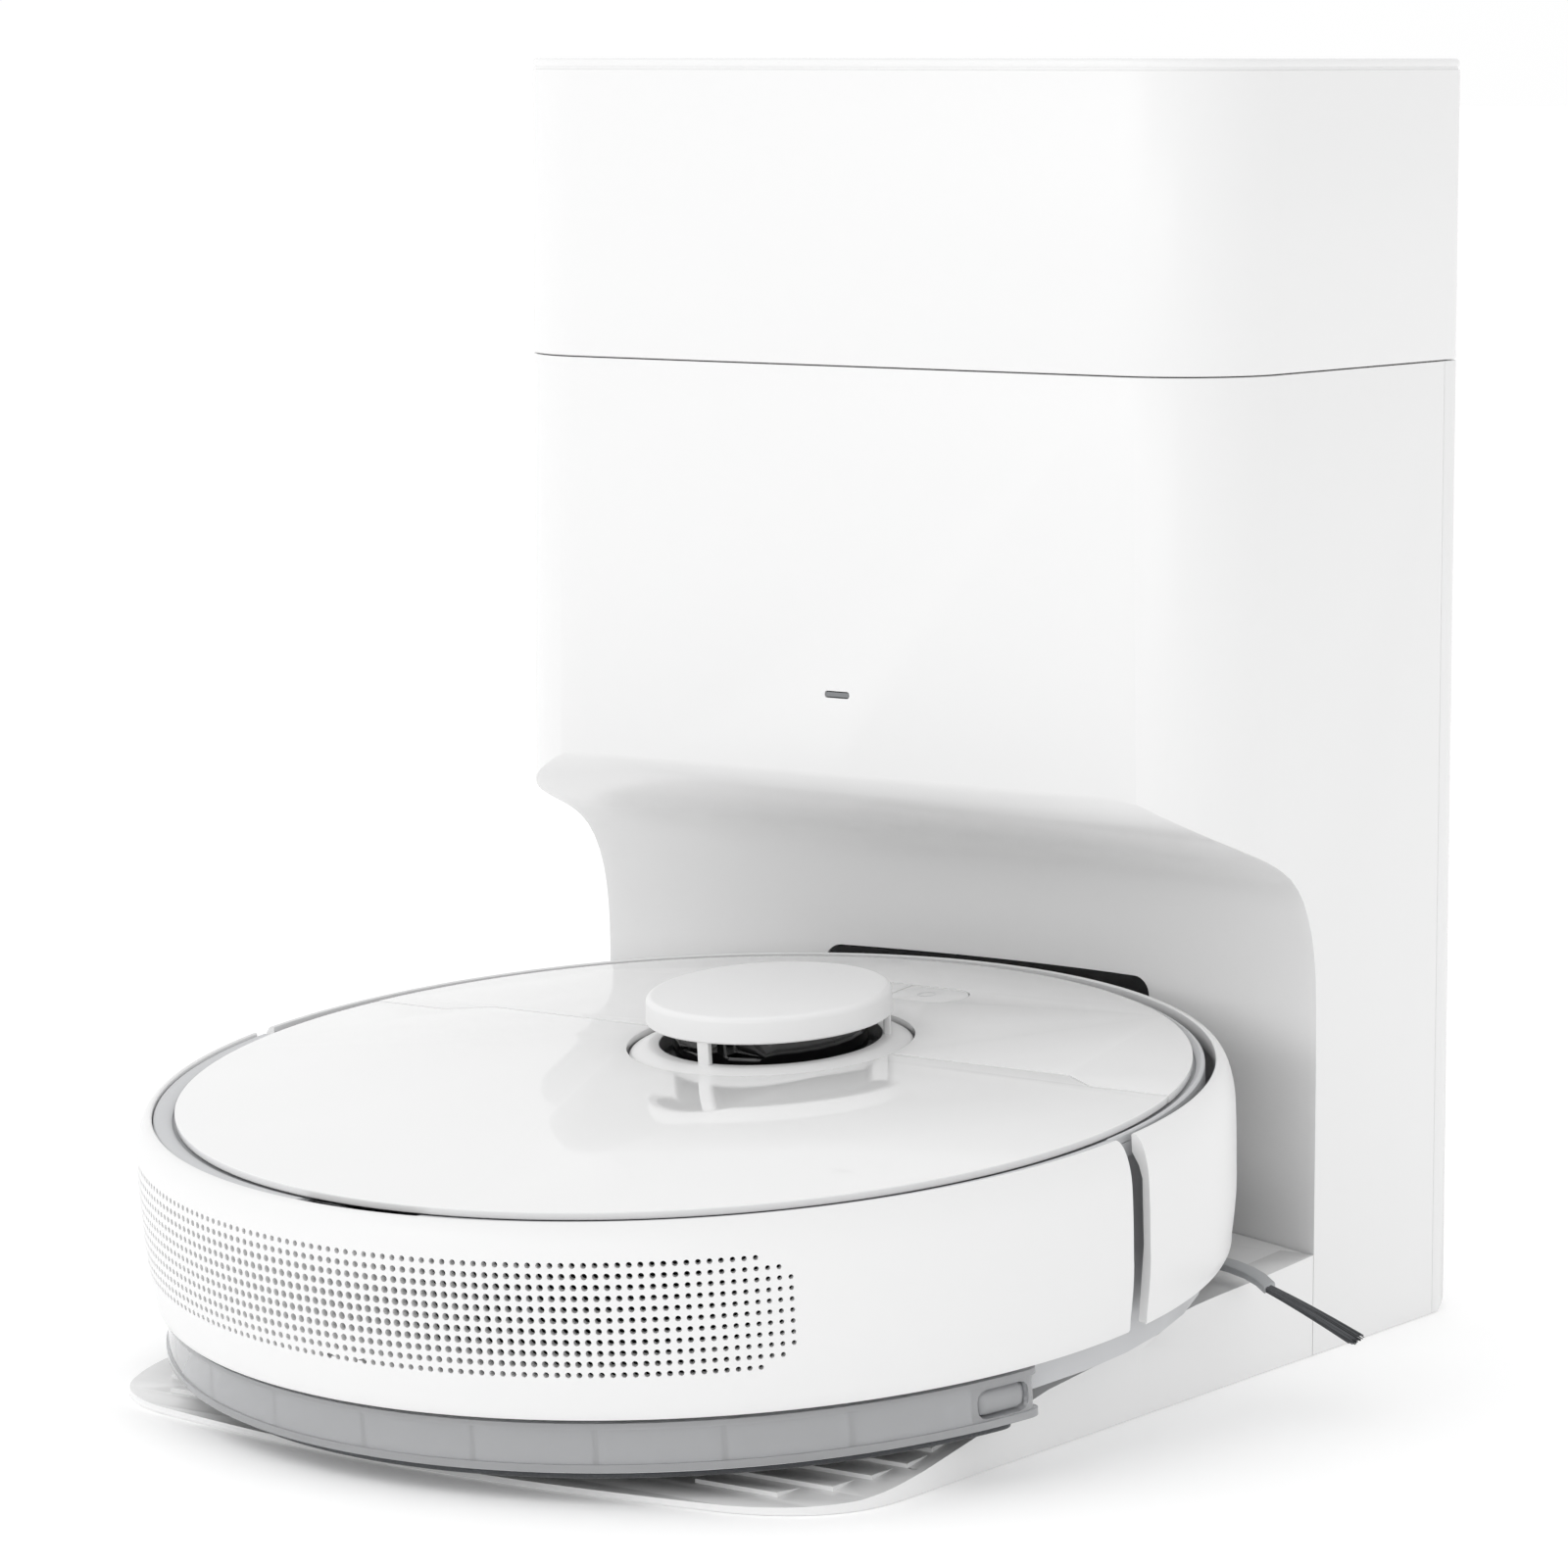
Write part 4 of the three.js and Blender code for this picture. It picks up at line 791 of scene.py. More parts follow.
class BuildBase(bpy.types.Operator):
    """The dock's base: the ramp, its raised sides, its grip ribs and the charging blocks."""

    bl_idname = "vacuum.base"
    bl_label = "Base and ramp"

    def execute(self, context):
        size = context.scene.dock_sizes
        back = BAY_MIDDLE_Y + 1
        spots = [-150, -141, -128, -116, -104, -95, -86, -76, -64, -53, -43, -31, -19, -8, 60, back]
        section = [(-150, -0.01)] + [(y, ramp_height(y)) for y in spots] + [(back, -0.01)]
        base = drawn_across("base", [(y, max(z, 0)) for y, z in section], -HALF, HALF)
        crest = [(44, 21), (49, 22.3), (53, 23.4), (57, 24.7), (61, 26.1), (65, 27.6), (70, 28.9), (78, 29.7),
                 (90, 30.4), (104, 31), (117, 31.5), (152, 33.5)]
        for side in (-1, 1):
            rail = drawn_across("rail", [(44, 0)] + crest + [(152, 0)], side * (HALF - 13), side * HALF)
            carve(base, rail, "UNION")
            carve(base, block("block", (side * 19, side * 41), (149, back), (0, 41), 0), "UNION")
        high, pitch = size.rib_height / MM, size.rib_pitch / MM
        for i in range(7):
            y = -114 + pitch * i
            inner, outer = (88, 118) if i == 0 else (66 + 3 * i, min(138, 124 + 5 * i))
            for side in (-1, 1):
                wedge = [(y, 1), (y, ramp_height(y) + high), (y + 1.4, ramp_height(y + 1.4) + high)]
                wedge += [(y + pitch - 1, ramp_height(y + pitch - 1) - 0.1), (y + pitch - 1, 1)]
                carve(base, drawn_across("rib", wedge, side * inner, side * outer), "UNION")
        carve(base, drawn_up("plan", base_plan(), -1, 60), "INTERSECT")
        rounded(base, 0.45, 2, 25)
        carve(base, block("way", (-25, 25), (51, back + 1), (-1, 18)))
        carve(base, block("port", (-25, 25), (58, 84), (10, 40)))
        for side in (-1, 1):
            carve(base, rod("pad", 11 + GAP, -1, 2 + GAP, side * 112, 40))
            x = side * 27
            carve(base, block("slot", (x - 5 - GAP, x + 5 + GAP), (154 - GAP, 168 + GAP), (30, 50)))
            hollow = [(60, -1), (60, 19), (140, 25), (140, -1)]
            carve(base, drawn_across("pocket", hollow, side * 34, side * (HALF - 5)))
        smooth(base, 24)
        fit(base, "dock", "shell_white", finish_of("dock_abs"), "dock_base")
        return {"FINISHED"}


class BuildDockInside(bpy.types.Operator):
    """What the lid covers: bag holder, dust bag and fan housing, and the dark window and feet."""

    bl_idname = "vacuum.dock_inside"
    bl_label = "Dock inside"

    def execute(self, context):
        holder = smooth(rounded(copied("holder", "bag_holder"), 0.4, 2, 40), 30)
        fit(holder, "dock", "grey_plastic", finish_of("grey"), "bag_holder")
        housing = smooth(copied("fan_case", "dock_fan_housing"), 30)
        fit(housing, "dock", "dark_plastic", finish_of("dark"), "dock_fan_housing")
        window = window_bar("dock_window", 66, 78, WINDOW_TOP, 6)
        carve(window, bay_room("front_of_it", 0.3))
        carve(window, bay_room("back_of_it", 3.0), "INTERSECT")
        smooth(window, 30)
        fit(window, "dock", "black_window", finish_of("window"), "ir_window")
        for node in ("front_pad_left", "front_pad_right", "back_pad_left", "back_pad_right"):
            foot = smooth(rounded(copied(node.replace("pad", "foot"), node), 0.4, 2, 60), 30)
            fit(foot, "dock", "soft_rubber", finish_of("rubber"), node)
        bag = block("bag", (-103, 103), (135, 223), (243, 369), 0)
        edit(bag)
        bpy.ops.mesh.subdivide(number_cuts=11)
        leave_edit()
        crumple = random.Random(7)
        folds = [Vector([crumple.uniform(-1, 1) for _ in range(3)]).normalized() for _ in range(9)]
        for v in bag.data.vertices:
            x, y, z = v.co.x / 0.103, (v.co.y - 0.179) / 0.044, (v.co.z - 0.306) / 0.063
            puff = (1 - x**4) * (1 - z**4)
            pinch = 1 - 0.16 * abs(y) ** 3 * (abs(x) ** 6 + abs(z) ** 8)
            wave = sum(math.sin(f.dot(v.co) * 150 + i) for i, f in enumerate(folds)) * 0.00022
            v.co.x = 0.103 * x * (1 - 0.03 * abs(y) ** 4)
            v.co.y = 0.179 + y * (0.0385 + 0.0055 * puff) * pinch + wave * abs(y)
            v.co.z = max(0.306 + z * 0.063 * (1 - 0.05 * abs(y) ** 4), 0.2406) + wave * (z > -0.9)
        apply(bag, "SUBSURF", levels=1, render_levels=1)
        smooth(bag, 60)
        fit(bag, "dock", "bag_fleece", finish_of("bag"), "dust_bag")
        return {"FINISHED"}


# ---- Robot ----------------------------------------------------------------------------------------

LIP = 169.3
SEAM_Y = 48.0
PLATE_BOTTOM = 78.0
TURRET_R = 40.3


def shell_section(radius):
    """The outer shell's section: foot, slightly swelling side, round shoulder, lip and inner face."""
    side = [(radius - 3.9, 20.6), (radius - 3.5, 20.0), (radius - 3.0, 20.8)]
    side += [(radius - 2.7 + 2.2 * math.sin(math.pi / 2 * t / 6), 24 + 21 * t / 6) for t in range(7)]
    side += [(radius - 0.5 + 0.5 * math.sin(math.pi / 2 * t / 5), 45 + 19 * t / 5) for t in range(1, 6)]
    shoulder = [(radius - 5.2 + 5.2 * math.cos(a), 65 + 14.8 * math.sin(a)) for a in
                (math.radians(5 + 85 * t / 14) for t in range(15))]
    inside = [(LIP, 79.4), (LIP, 74), (radius - 3.4, 70), (radius - 2.4, 66), (radius - 2.9, 45),
              (radius - 5.9, 20.6)]
    return side + shoulder + inside


def channel_section(outer):
    """The light ring round the plates: a shallow gutter with a soft outer edge."""
    return [(158.5, 76.15), (outer, 76.15), (outer, 78.4), (outer - 0.4, 78.8), (outer - 1.2, 78.9),
            (163.9, 78.3), (162.9, 77.7), (162.6, 77.0), (158.5, 77.0)]


def seam_plan(shift, far):
    """The plan of one plate: the stepped seam between the plates, and a straight far edge."""
    y, step = SEAM_Y - shift, 9.0
    inner = [(-113, y), (113, y)]
    left = [(-200, y - step), (-130, y - step), (-128, y - step + 0.3), (-115.5, y - 0.4)]
    right = [(115.5, y - 0.4), (128, y - step + 0.3), (130, y - step), (200, y - step)]
    return left + inner + right + [(200, far), (-200, far)]


def plate(name, keep_plan):
    radius = bpy.context.scene.robot_sizes.plate_radius / MM
    piece = rod(name, radius, PLATE_BOTTOM, PLATE_TOP, sides=256)
    carve(piece, drawn_up("half", keep_plan, 0, 150), "INTERSECT")
    carve(piece, rod("hole", 47, PLATE_BOTTOM - 1, PLATE_TOP + 1, 0, SEAM_Y, 128))
    return piece


def pill(name, r, half, y, low, high):
    plan = arc(half, y, r, -90, 90, 24) + arc(-half, y, r, 90, 270, 24)
    return drawn_up(name, plan, low, high)


class BuildPlates(bpy.types.Operator):
    """The polished top: the front plate, the lid behind its stepped seam and the channel round both."""

    bl_idname = "vacuum.plates"
    bl_label = "Top plates"

    def execute(self, context):
        front = plate("front_plate", seam_plan(-0.2, 250))
        carve(front, pill("room", 9 + GAP, 18, 121, PLATE_BOTTOM - 1, PLATE_TOP + 1))
        rounded(front, 0.45, 3, 40)
        lid = plate("lid_plate", seam_plan(0.2, -250)[::-1])
        rounded(lid, 0.45, 3, 40)
        for piece, body, node in ((front, "robot", "front_cover"), (lid, "robot_lid", "lid")):
            smooth(put(piece, ROBOT), 32)
            fit(piece, body, "plate_white", finish_of("plate"), node)
        rear = turned("rear_channel", channel_section(LIP - 0.4))
        trim(rear, (0, -8, 0), (0, 1, 0))
        carve(rear, block("notch", (-22.5, 22.5), (-171, -150), (70, 90)))
        ahead = turned("front_channel", channel_section(165.8))
        trim(ahead, (0, -8.05, 0), (0, -1, 0))
        for piece in (rear, ahead):
            rounded(piece, 0.2, 2, 50)
            smooth(put(piece, ROBOT), 32)
            fit(piece, "robot", "grey_plastic", finish_of("grey"))
        notch = turned("finger_notch", [(160, 74.2), (LIP - 0.5, 74.2), (LIP - 0.5, 75.6), (160, 76.4)])
        carve(notch, block("keep", (-22, 22), (-180, -150), (60, 90)), "INTERSECT")
        rounded(notch, 0.2, 2, 50)
        smooth(put(notch, ROBOT), 32)
        fit(notch, "robot", "dark_plastic", finish_of("window"))
        return {"FINISHED"}


class BuildButtons(bpy.types.Operator):
    """The two halves of the pill-shaped button pad, with a small ring on the right one."""

    bl_idname = "vacuum.buttons"
    bl_label = "Buttons"

    def execute(self, context):
        for side, node, body in ((-1, "power_button", "left_button"), (1, "home_button", "right_button")):
            key = pill(node + "_cap", 9, 18, 121, PLATE_BOTTOM + 0.4, PLATE_TOP - 0.2)
            carve(key, block("half", (side * 0.3, side * 40), (100, 140), (70, 90)), "INTERSECT")
            rounded(key, 0.35, 3, 40)
            smooth(put(key, ROBOT), 32)
            fit(key, body, "plate_white", finish_of("plate"), node)
            top = PLATE_TOP - 0.2
            ring = turned(
                node + "_ring",
                [(2.5, top - 0.1), (3.1, top - 0.1), (3.1, top + 0.03), (3.0, top + 0.07), (2.6, top + 0.07),
                 (2.5, top + 0.03)],
                48,
                (side * 12, 121),
            )
            smooth(put(ring, ROBOT), 32)
            fit(ring, body, "grey_plastic", finish_of("grey"))
        return {"FINISHED"}


def vent_pins(size):
    """One short pin, copied to every exhaust hole. The holes shrink towards the ends of the field."""
    deselect()
    bpy.ops.mesh.primitive_cylinder_add(vertices=12, radius=0.5 * MM, depth=9 * MM, location=(0, 0, 0))
    pin = bpy.context.object
    pin.name = "vent_pins"
    bpy.ops.object.mode_set(mode="EDIT")
    bpy.ops.mesh.select_all(action="SELECT")
    bpy.ops.transform.rotate(value=math.radians(90), orient_axis="X", center_override=(0, 0, 0))
    leave_edit()
    field = bmesh.new()
    columns, rows, pitch = 42, 11, size.vent_pitch / MM
    for column in range(-columns, columns + 1):
        turn = math.radians(1.1 * column)
        share = abs(column) / columns
        near_end = columns - abs(column)
        skip = (2, 1, 1, 0)[min(near_end, 3)]
        for row in range(skip, rows - skip):
            fade = max(share**1.5, (abs(row - (rows - 1) / 2) / (rows / 2)) ** 2 * 0.8)
            wide = (size.vent_large + (size.vent_small - size.vent_large) * fade) / MM
            z = 68 - pitch * row
            place = Matrix.Rotation(turn, 4, "Z") @ Matrix.Translation((0, -173 * MM, z * MM))
            grown = Matrix.Diagonal((wide, 1, wide, 1))
            before = len(field.verts)
            field.from_mesh(pin.data)
            field.verts.ensure_lookup_table()
            bmesh.ops.transform(field, matrix=place @ grown, verts=field.verts[before:])
    field.to_mesh(pin.data)
    field.free()
    return pin


class BuildShells(bpy.types.Operator):
    """The robot's sides: the fixed rear shell with its field of exhaust holes, and the bumper."""

    bl_idname = "vacuum.shells"
    bl_label = "Side shells"

    def execute(self, context):
        size = context.scene.robot_sizes
        section = shell_section(size.radius / MM)
        rear = trim(turned("rear_shell", section, 288), (0, -11, 0), (0, 1, 0))
        flange = turned("flange", [(163.4, 23), (171, 23), (171, 26), (163.4, 26)], 288)
        carve(rear, trim(flange, (0, -11.2, 0), (0, 1, 0)), "UNION")
        carve(rear, vent_pins(size))
        bumper = trim(turned("bumper_shell", section, 288), (0, -2, 0), (0, -1, 0))
        room = turned("room", [(173, 47.6), (180, 47.6), (180, 60.4), (173, 60.4)], 288)
        carve(bumper, trim(room, (0, 109.6, 0), (0, -1, 0)))
        glass = turned("bumper_glass", [(173.3, 48), (174.7, 48), (174.7, 60), (173.3, 60)], 288)
        trim(glass, (0, 110, 0), (0, -1, 0))
        rounded(glass, 0.25, 2, 60)
        for piece in (rear, bumper, glass):
            smooth(put(piece, ROBOT), 30)
        fit(rear, "robot", "shell_white", finish_of("white_abs"), "side_shell")
        fit(bumper, "front_bumper", "shell_white", finish_of("white_abs"), "bumper")
        fit(glass, "front_bumper", "black_window", finish_of("window"), "bumper_window")
        return {"FINISHED"}


class BuildTurret(bpy.types.Operator):
    """The lidar turret: sloping foot ring, posts and cap, with the dark spinning head inside."""

    bl_idname = "vacuum.turret"
    bl_label = "Turret"

    def execute(self, context):
        foot = [(36.4, 76.6), (46.2, 76.6), (46.3, 78.2), (46.0, 78.7), (45.2, 79.2), (40.6, 81.0),
                (39.6, 81.3), (36.6, 81.3), (36.4, 81.1)]
        ring = turned("turret_foot", foot, 128, (0, SEAM_Y))
        crown = [(TURRET_R - 2.4 + 2.1 * math.cos(a), 95.4 + 2.1 * math.sin(a)) for a in
                 (math.radians(90 * t / 8) for t in range(9))]
        brim = [(37.1, 93.8), (37.3, 89.1), (37.6, 88.8), (TURRET_R - 0.5, 88.8), (TURRET_R, 89.3)]
        cap_section = [(0, 94.4), (36.6, 94.4)] + brim + crown + [(0, 97.5)]
        cap = turned("turret_cap", cap_section, 128, (0, SEAM_Y))
        carve(cap, ring, "UNION")
        for i in range(3):
            post = block("post", (36.9, 39.3), (-2.2, 2.2), (80.6, 89.6), 0.5)
            put(post, Matrix.Rotation(math.radians(32 + 120 * i), 4, "Z"))
            carve(cap, put(post, Matrix.Translation((0, SEAM_Y * MM, 0))), "UNION")
        smooth(put(cap, ROBOT), 32)
        fit(cap, "robot", "shell_white", finish_of("white_abs"), "turret_cage")
        head = smooth(rounded(copied("scanner", "lidar_head"), 0.5, 2, 40), 30)
        fit(head, "lidar", "black_window", finish_of("window"), "lidar_head")
        seat = smooth(copied("scanner_seat", "lidar_base"), 30)
        fit(seat, "robot", "dark_plastic", finish_of("dark"), "lidar_base")
        return {"FINISHED"}


# ---- Tank, mop and brushes ------------------------------------------------------------------------

TANK_R = 170.0
TANK_FRONT = -46.0
TANK_LOW, TANK_HIGH = 3.4, 18.4


def tank_plan(inset):
    """The tank's D-shaped plan, with its two front corners rounded."""
    r, y = TANK_R - inset, TANK_FRONT - inset
    reach = math.degrees(math.asin(y / r))
    corner, turn = r * math.cos(math.radians(reach)), 2.4
    rim = arc(0, 0, r, 180 - reach + turn, 360 + reach - turn, 110)
    round_off = []
    for i in range(1, 8):
        t = i / 8
        x = (1 - t) ** 2 * rim[-1][0] + 2 * t * (1 - t) * corner + t * t * (corner - 7)
        round_off.append((x, (1 - t) ** 2 * rim[-1][1] + (1 - (1 - t) ** 2) * y))
    end = [(corner - 7, y)]
    return rim + round_off + end + [(-end[0][0], y)] + [(-x, z) for x, z in reversed(round_off)]


def latch_block(name, side, near, far, half, low, high, edge):
    piece = block(name, (near, far), (-half, half), (low, high), edge)
    return put(piece, Matrix.Rotation(math.radians(-90 + side * 69), 4, "Z"))


class BuildTank(bpy.types.Operator):
    """The smoke-clear water tank with its side latches, the mop plate and the cloth."""

    bl_idname = "vacuum.tank"
    bl_label = "Tank and mop"

    def execute(self, context):
        tank = drawn_up("tank", tank_plan(0.9), TANK_LOW, TANK_HIGH)
        carve(tank, drawn_up("rim", tank_plan(0), TANK_LOW, TANK_LOW + 2.4), "UNION")
        carve(tank, drawn_up("rim", tank_plan(0.2), TANK_HIGH - 2.0, TANK_HIGH), "UNION")
        rounded(tank, 0.5, 3, 50)
        chamber = drawn_up("chamber", tank_plan(1.8), TANK_LOW + 1.8, TANK_HIGH - 1.8)
        for i in range(-4, 5):
            turn = Matrix.Rotation(math.radians(13.0 * i), 4, "Z")
            carve(chamber, put(block("rib", (-1, 1), (-170, -159), (0, 30)), turn))
        for side in (-1, 1):
            carve(chamber, latch_block("wall", side, 153.2, 175, 11.2, 3.9, 17.9, 0))
        carve(tank, chamber)
        for side in (-1, 1):
            carve(tank, latch_block("room", side, 155, 180, 9.4, 6.2, 15.4, 3.4))
        carve(tank, rod("filler", 8, TANK_HIGH - 4, TANK_HIGH + 1, 78, -118))
        smooth(put(tank, ROBOT), 32)
        fit(tank, "tank", "smoke_plastic", finish_of("smoke"), "water_tank")
        for side, hand in ((-1, "left"), (1, "right")):
            latch = latch_block("latch_" + hand, side, 158, 168.6, 9, 6.6, 15, 3.2)
            smooth(put(latch, ROBOT), 32)
            fit(latch, hand + "_latch", "smoke_plastic", finish_of("smoke"), "tank_latch_" + hand)
        bracket = drawn_up("mop_plate", tank_plan(4), 1.9, TANK_LOW - 0.3)
        rounded(bracket, 0.3, 2, 60)
        smooth(put(bracket, ROBOT), 32)
        fit(bracket, "tank", "grey_plastic", finish_of("grey"), "mop_bracket")
        pad = drawn_up("mop", tank_plan(5), 0, 1.75)
        edit(pad)
        bpy.ops.mesh.select_all(action="DESELECT")
        bpy.ops.object.mode_set(mode="OBJECT")
        for face in pad.data.polygons:
            face.select = abs(face.normal.z) > 0.9
        bpy.ops.object.mode_set(mode="EDIT")
        bpy.ops.mesh.inset(thickness=5 * MM, depth=0)
        bpy.ops.mesh.inset(thickness=0.5 * MM, depth=-0.25 * MM)
        bpy.ops.mesh.inset(thickness=0.5 * MM, depth=0.25 * MM)
        leave_edit()
        rounded(pad, 0.5, 3, 60)
        smooth(put(pad, ROBOT), 40)
        fit(pad, "tank", "mop_cloth", finish_of("mop"), "mop_pad")
        return {"FINISHED"}


HUB = (104.0, 103.0, 7.0)
SLEEVE = [(10, 1), (38, 4), (59, -18)]


def bristles(name, turn, far, fall, count, seed):
    """A flat bundle of thin tapering bristles that starts inside the sleeve and spreads a little."""
    spread = random.Random(seed)
    thick = bpy.context.scene.robot_sizes.bristle / MM
    curve = bpy.data.curves.new(name, "CURVE")
    curve.dimensions = "3D"
    curve.bevel_depth = thick / 2
    curve.bevel_resolution = 1
    start = SLEEVE[2]
    for _ in range(count):
        across, up = spread.uniform(-1, 1), spread.uniform(-1, 1)
        reach = far * spread.uniform(0.93, 1.0)
        line = curve.splines.new("POLY")
        line.points.add(6)
        for i, point in enumerate(line.points):
            share = i / 6
            px = start[0] - 3 + (reach + 3) * share
            py = start[1] + 1.2 - reach * 0.5 * share * (1.3 - 0.5 * share) + across * (1.5 + 1.6 * share)
            pz = up * (0.65 + 0.35 * share) - fall * share**2
            point.co = (px, py, pz, 1)
            point.radius = 1.0 - 0.35 * share
    piece = bpy.data.objects.new(name, curve)
    bpy.context.scene.collection.objects.link(piece)
    deselect()
    bpy.context.view_layer.objects.active = piece
    piece.select_set(True)
    bpy.ops.object.convert(target="MESH")
    piece = bpy.context.object
    scale = Matrix.Diagonal((MM, MM, MM, 1))
    place = Matrix.Translation(Vector(HUB) * MM) @ Matrix.Rotation(turn, 4, "Z") @ scale
    return smooth(put(piece, ROBOT @ place), 60)


class BuildSideBrush(bpy.types.Operator):
    """The side brush: hub, soft sleeves and their bristles."""

    bl_idname = "vacuum.side_brush"
    bl_label = "Side brush"

    def execute(self, context):
        hub = smooth(rounded(copied("brush_hub", "side_brush_hub"), 0.4, 2, 50), 30)
        fit(hub, "side_brush", "dark_plastic", finish_of("dark"), "side_brush_hub")
        sleeves = smooth(rounded(copied("brush_sleeves", "side_brush_arms"), 0.8, 3, 50), 40)
        fit(sleeves, "side_brush", "sleeve_rubber", finish_of("sleeve"), "side_brush_arms")
        outer = bristles("long_bristles", 0.0, 41, 7.5, 110, 3)
        fit(outer, "side_brush", "bristle", finish_of("bristle"), "outer_bristles")
        inner = bristles("short_bristles", math.pi, 17, 0.6, 60, 4)
        fit(inner, "side_brush", "bristle", finish_of("bristle"), "inner_bristles")
        return {"FINISHED"}


class BuildUnderside(bpy.types.Operator):
    """Wheels, caster, main brush, chassis and the bins under the lid."""

    bl_idname = "vacuum.underside"
    bl_label = "Underside and inside"

    def execute(self, context):
        pieces = [
            ("pan", "chassis", "robot", "dark_plastic", "grey", 0.0),
            ("top_deck", "deck", "robot", "grey_plastic", "grey", 0.0),
            ("caster_yoke", "caster_fork", "caster", "grey_plastic", "grey", 0.4),
            ("caster_ball", "caster_wheel", "caster_roller", "soft_rubber", "rubber", 0.5),
            ("roller_brush", "main_brush", "brush", "soft_rubber", "rubber", 0.0),
            ("brush_frame", "brush_guard", "robot", "grey_plastic", "grey", 0.4),
            ("cells", "battery", "robot", "battery_wrap", "film", 0.0),
            ("motor_case", "fan_housing", "robot", "dark_plastic", "dark", 0.0),
            ("bin", "dust_bin", "robot", "smoke_plastic", "smoke", 0.4),
        ]
        for hand in ("left", "right"):
            pieces.append(("arm_" + hand, "wheel_arm_" + hand, hand + "_arm", "dark_plastic", "dark", 0.4))
            pieces.append(("rim_" + hand, "wheel_" + hand, hand + "_wheel", "grey_plastic", "grey", 0.3))
        for name, node, body, slot, look, edge in pieces:
            piece = copied(name, node)
            if edge:
                rounded(piece, edge, 2, 45)
            smooth(piece, 32)
            fit(piece, body, slot, finish_of(look), node)
        for side, hand in ((-1, "left"), (1, "right")):
            tread = copied("tread_" + hand, "tyre_" + hand)
            axle = Matrix.Translation((side * 112 * MM, 0, 33 * MM))
            for i in range(28):
                lug = block("lug", (-7, 7), (-1.3, 1.3), (31.5, 33.3), 0.3)
                turn = Matrix.Rotation(math.radians(360 * i / 28), 4, "X")
                carve(tread, put(lug, ROBOT @ axle @ turn), "UNION")
            smooth(tread, 32)
            fit(tread, hand + "_wheel", "soft_rubber", finish_of("rubber"), "tyre_" + hand)
        return {"FINISHED"}


class FinishCarried(bpy.types.Operator):
    """Gives the CAD nodes that keep their own shape their materials."""

    bl_idname = "vacuum.carried"
    bl_label = "Carried-over nodes"

    def execute(self, context):
        for node, look in CARRIED.items():
            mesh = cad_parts[node].data
            if mesh.materials:
                for i in range(len(mesh.materials)):
                    mesh.materials[i] = finish_of(look)
            else:
                mesh.materials.append(finish_of(look))
        return {"FINISHED"}


# ---- Stage ----------------------------------------------------------------------------------------


FLOOR_SIZE = 80.0
SKY_FALL = 0.84
# Each soft light: name, share of the key light's power, width and depth, place, point it faces.
SOFT_LIGHTS = [
    ("key", 1.0, (1.6, 1.6), (-1.5, -1.3, 1.9), (0, 0.05, 0.15)),
    ("front_fill", 0.8, (1.4, 0.8), (-0.7, -2.3, 0.7), (0, 0.1, 0.2)),
    ("low_fill", 0.5, (1.4, 0.5), (0.7, -2.3, 0.36), (0.05, 0.15, 0.1)),
]
VIEW_AZIMUTH = math.radians(35.441)
VIEW_PITCH = math.radians(7.091)
VIEW_DISTANCE = 1.8486
VIEW_SIDESTEP = 0.03194
VIEW_HEIGHT = 0.4236
VIEW_LENS = 134.99325


def soft_light(name, power, size, place, aim):
    data = bpy.data.lights.new(name, "AREA")
    data.shape = "RECTANGLE"
    data.size, data.size_y = size
    data.energy = power
    lamp = bpy.data.objects.new(name, data)
    lamp.location = place
    lamp.rotation_euler = (Vector(aim) - Vector(place)).to_track_quat("-Z", "Y").to_euler()
    bpy.context.scene.collection.objects.link(lamp)
    return lamp


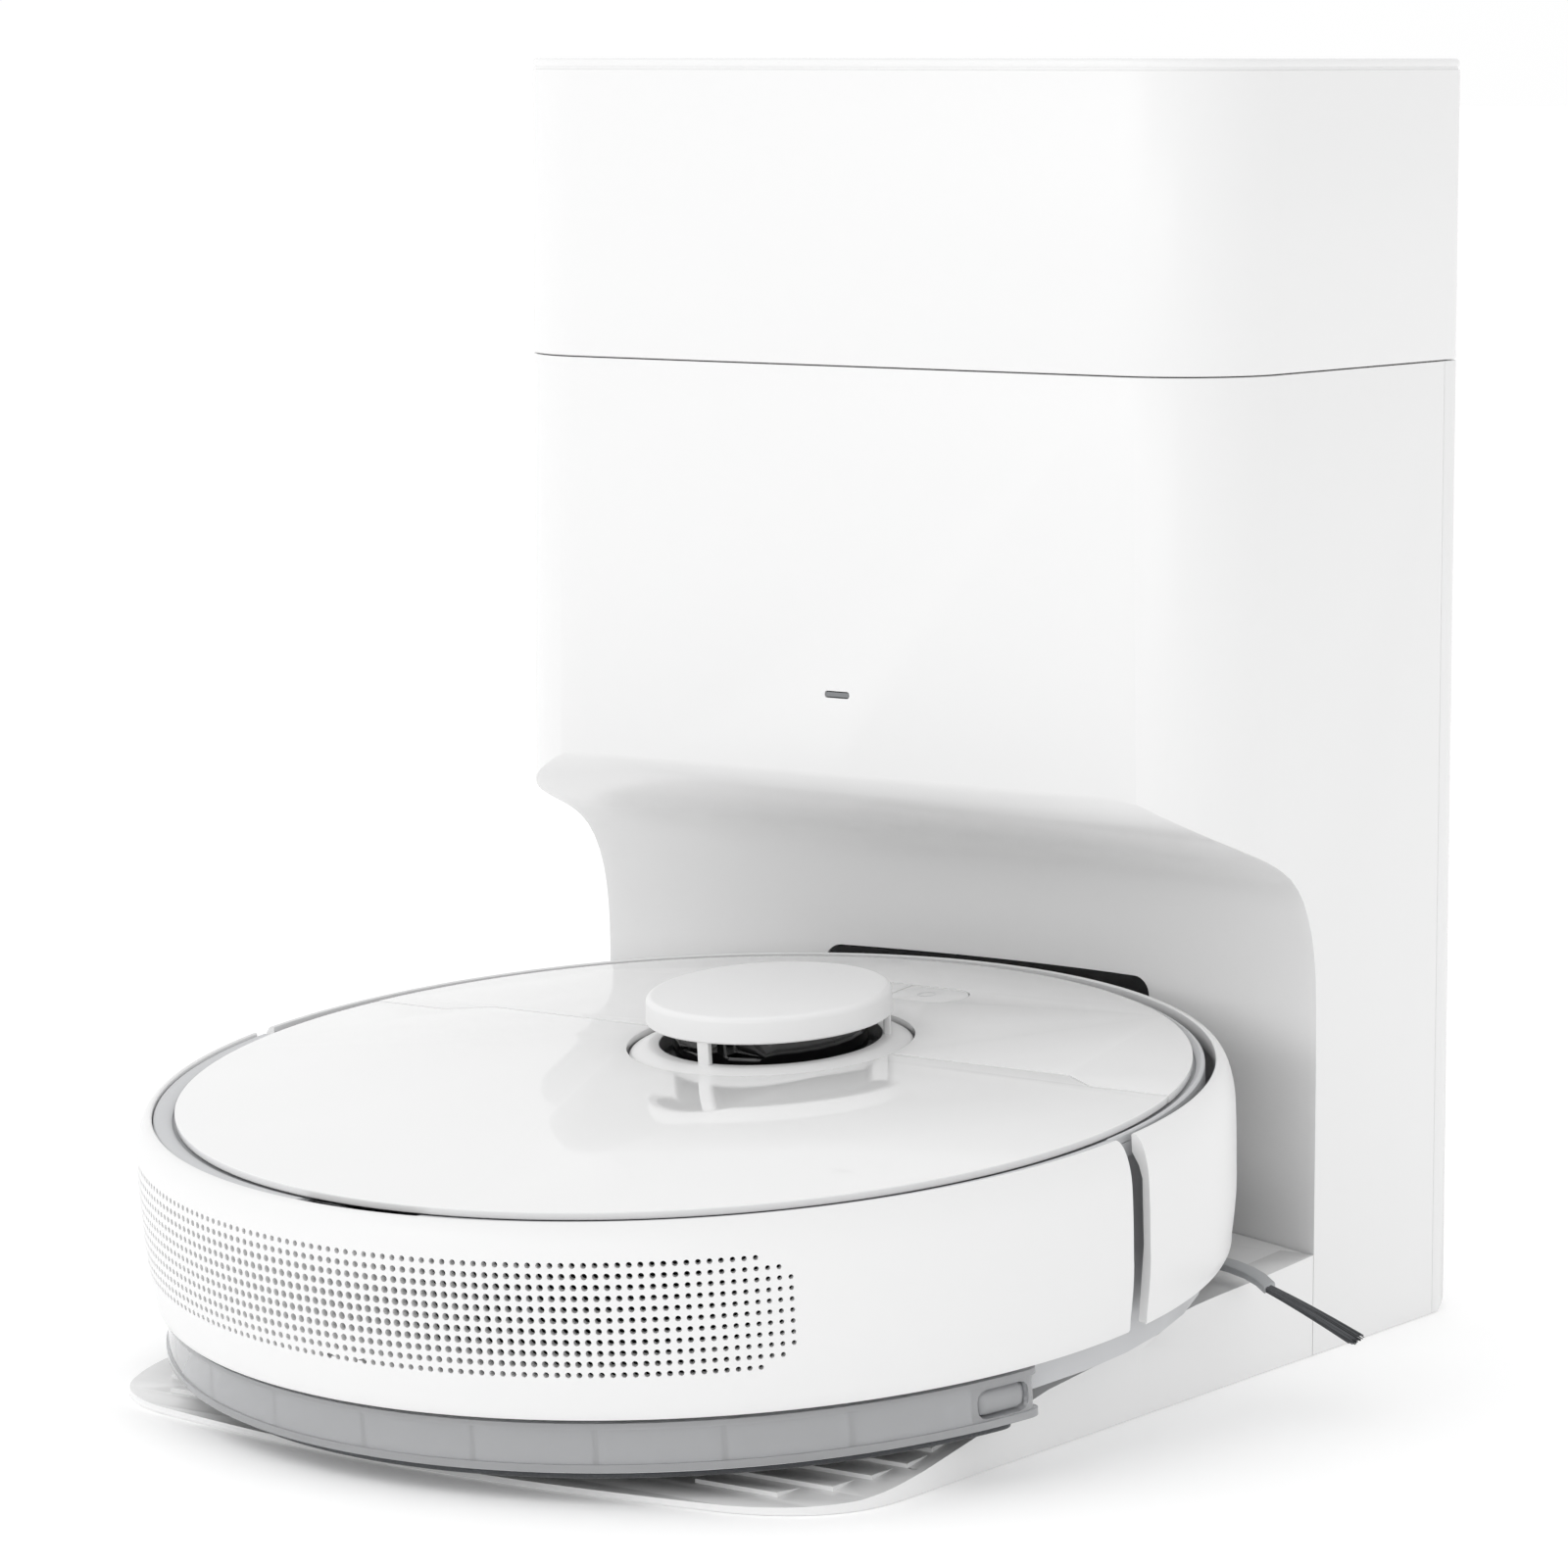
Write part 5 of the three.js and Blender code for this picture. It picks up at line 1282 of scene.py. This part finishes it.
class BuildStage(bpy.types.Operator):
    """The pale floor, the soft light and the camera."""

    bl_idname = "vacuum.stage"
    bl_label = "Stage"

    def execute(self, context):
        scene = context.scene
        look = scene.stage_look
        deselect()
        bpy.ops.mesh.primitive_plane_add(size=FLOOR_SIZE, location=(0, 0, -0.0002))
        floor = bpy.context.object
        floor.name = "floor"
        floor.data.transform(Matrix.Translation(floor.location))
        floor.location = (0, 0, 0)
        floor.data.materials.append(finish_of("floor"))
        floor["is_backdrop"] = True
        world = bpy.data.worlds.new("studio")
        scene.world = world
        scene.view_settings.view_transform = "Standard"
        world.use_nodes = True
        sky = world.node_tree.nodes["Background"]
        sky.inputs["Color"].default_value = (*look.sky, 1)
        # Even light that falls off a little towards the object's right-hand side.
        tree = world.node_tree
        around = add(tree, "ShaderNodeTexCoord")
        parts = add(tree, "ShaderNodeSeparateXYZ", links={"Vector": (around, "Generated")})
        falling = add(
            tree,
            "ShaderNodeMapRange",
            inputs={
                "From Min": -1.0,
                "From Max": 1.0,
                "To Min": look.sky_strength,
                "To Max": look.sky_strength * SKY_FALL,
            },
            links={"Value": (parts, "X")},
        )
        tree.links.new(falling.outputs["Result"], sky.inputs["Strength"])
        for name, share, size, place, aim in SOFT_LIGHTS:
            soft_light(name, look.key_power * share, size, place, aim)
        away = Vector((math.sin(VIEW_AZIMUTH), -math.cos(VIEW_AZIMUTH), 0))
        right = Vector((math.cos(VIEW_AZIMUTH), math.sin(VIEW_AZIMUTH), 0))
        place = away * VIEW_DISTANCE + right * VIEW_SIDESTEP + Vector((0, 0, VIEW_HEIGHT))
        forward = -away * math.cos(VIEW_PITCH) - Vector((0, 0, math.sin(VIEW_PITCH)))
        data = bpy.data.cameras.new("view")
        data.sensor_width = 36.0
        data.lens = VIEW_LENS
        data.clip_end = 120.0
        camera = bpy.data.objects.new("view", data)
        camera.location = place
        camera.rotation_euler = forward.to_track_quat("-Z", "Y").to_euler()
        scene.collection.objects.link(camera)
        scene.camera = camera
        return {"FINISHED"}


BUILDERS = [
    BuildTower,
    BuildDockLid,
    BuildBackCover,
    BuildBase,
    BuildDockInside,
    BuildPlates,
    BuildButtons,
    BuildShells,
    BuildTurret,
    BuildTank,
    BuildSideBrush,
    BuildUnderside,
    FinishCarried,
    BuildStage,
]


class VacuumPanel(bpy.types.Panel):
    """Lists the sizes and the steps that build the object."""

    bl_idname = "VIEW3D_PT_vacuum"
    bl_label = "Robot vacuum"
    bl_space_type = "VIEW_3D"
    bl_region_type = "UI"
    bl_category = "Robot vacuum"

    def draw(self, context):
        for group in (context.scene.dock_sizes, context.scene.robot_sizes, context.scene.stage_look):
            for name in group.__annotations__:
                self.layout.prop(group, name)
        for builder in BUILDERS:
            self.layout.operator(builder.bl_idname)


CLASSES = [DockSizes, RobotSizes, StageLook, *BUILDERS, VacuumPanel]


def register():
    for cls in CLASSES:
        bpy.utils.register_class(cls)
    bpy.types.Scene.dock_sizes = bpy.props.PointerProperty(type=DockSizes)
    bpy.types.Scene.robot_sizes = bpy.props.PointerProperty(type=RobotSizes)
    bpy.types.Scene.stage_look = bpy.props.PointerProperty(type=StageLook)


def unregister():
    del bpy.types.Scene.dock_sizes
    del bpy.types.Scene.robot_sizes
    del bpy.types.Scene.stage_look
    for cls in reversed(CLASSES):
        bpy.utils.unregister_class(cls)


def corners():
    return [list(map(float, corner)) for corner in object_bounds()]


def main():
    register()
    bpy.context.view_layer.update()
    for builder in BUILDERS:
        getattr(bpy.ops.vacuum, builder.bl_idname.split(".")[1])()


if __name__ == "__main__":
    main()
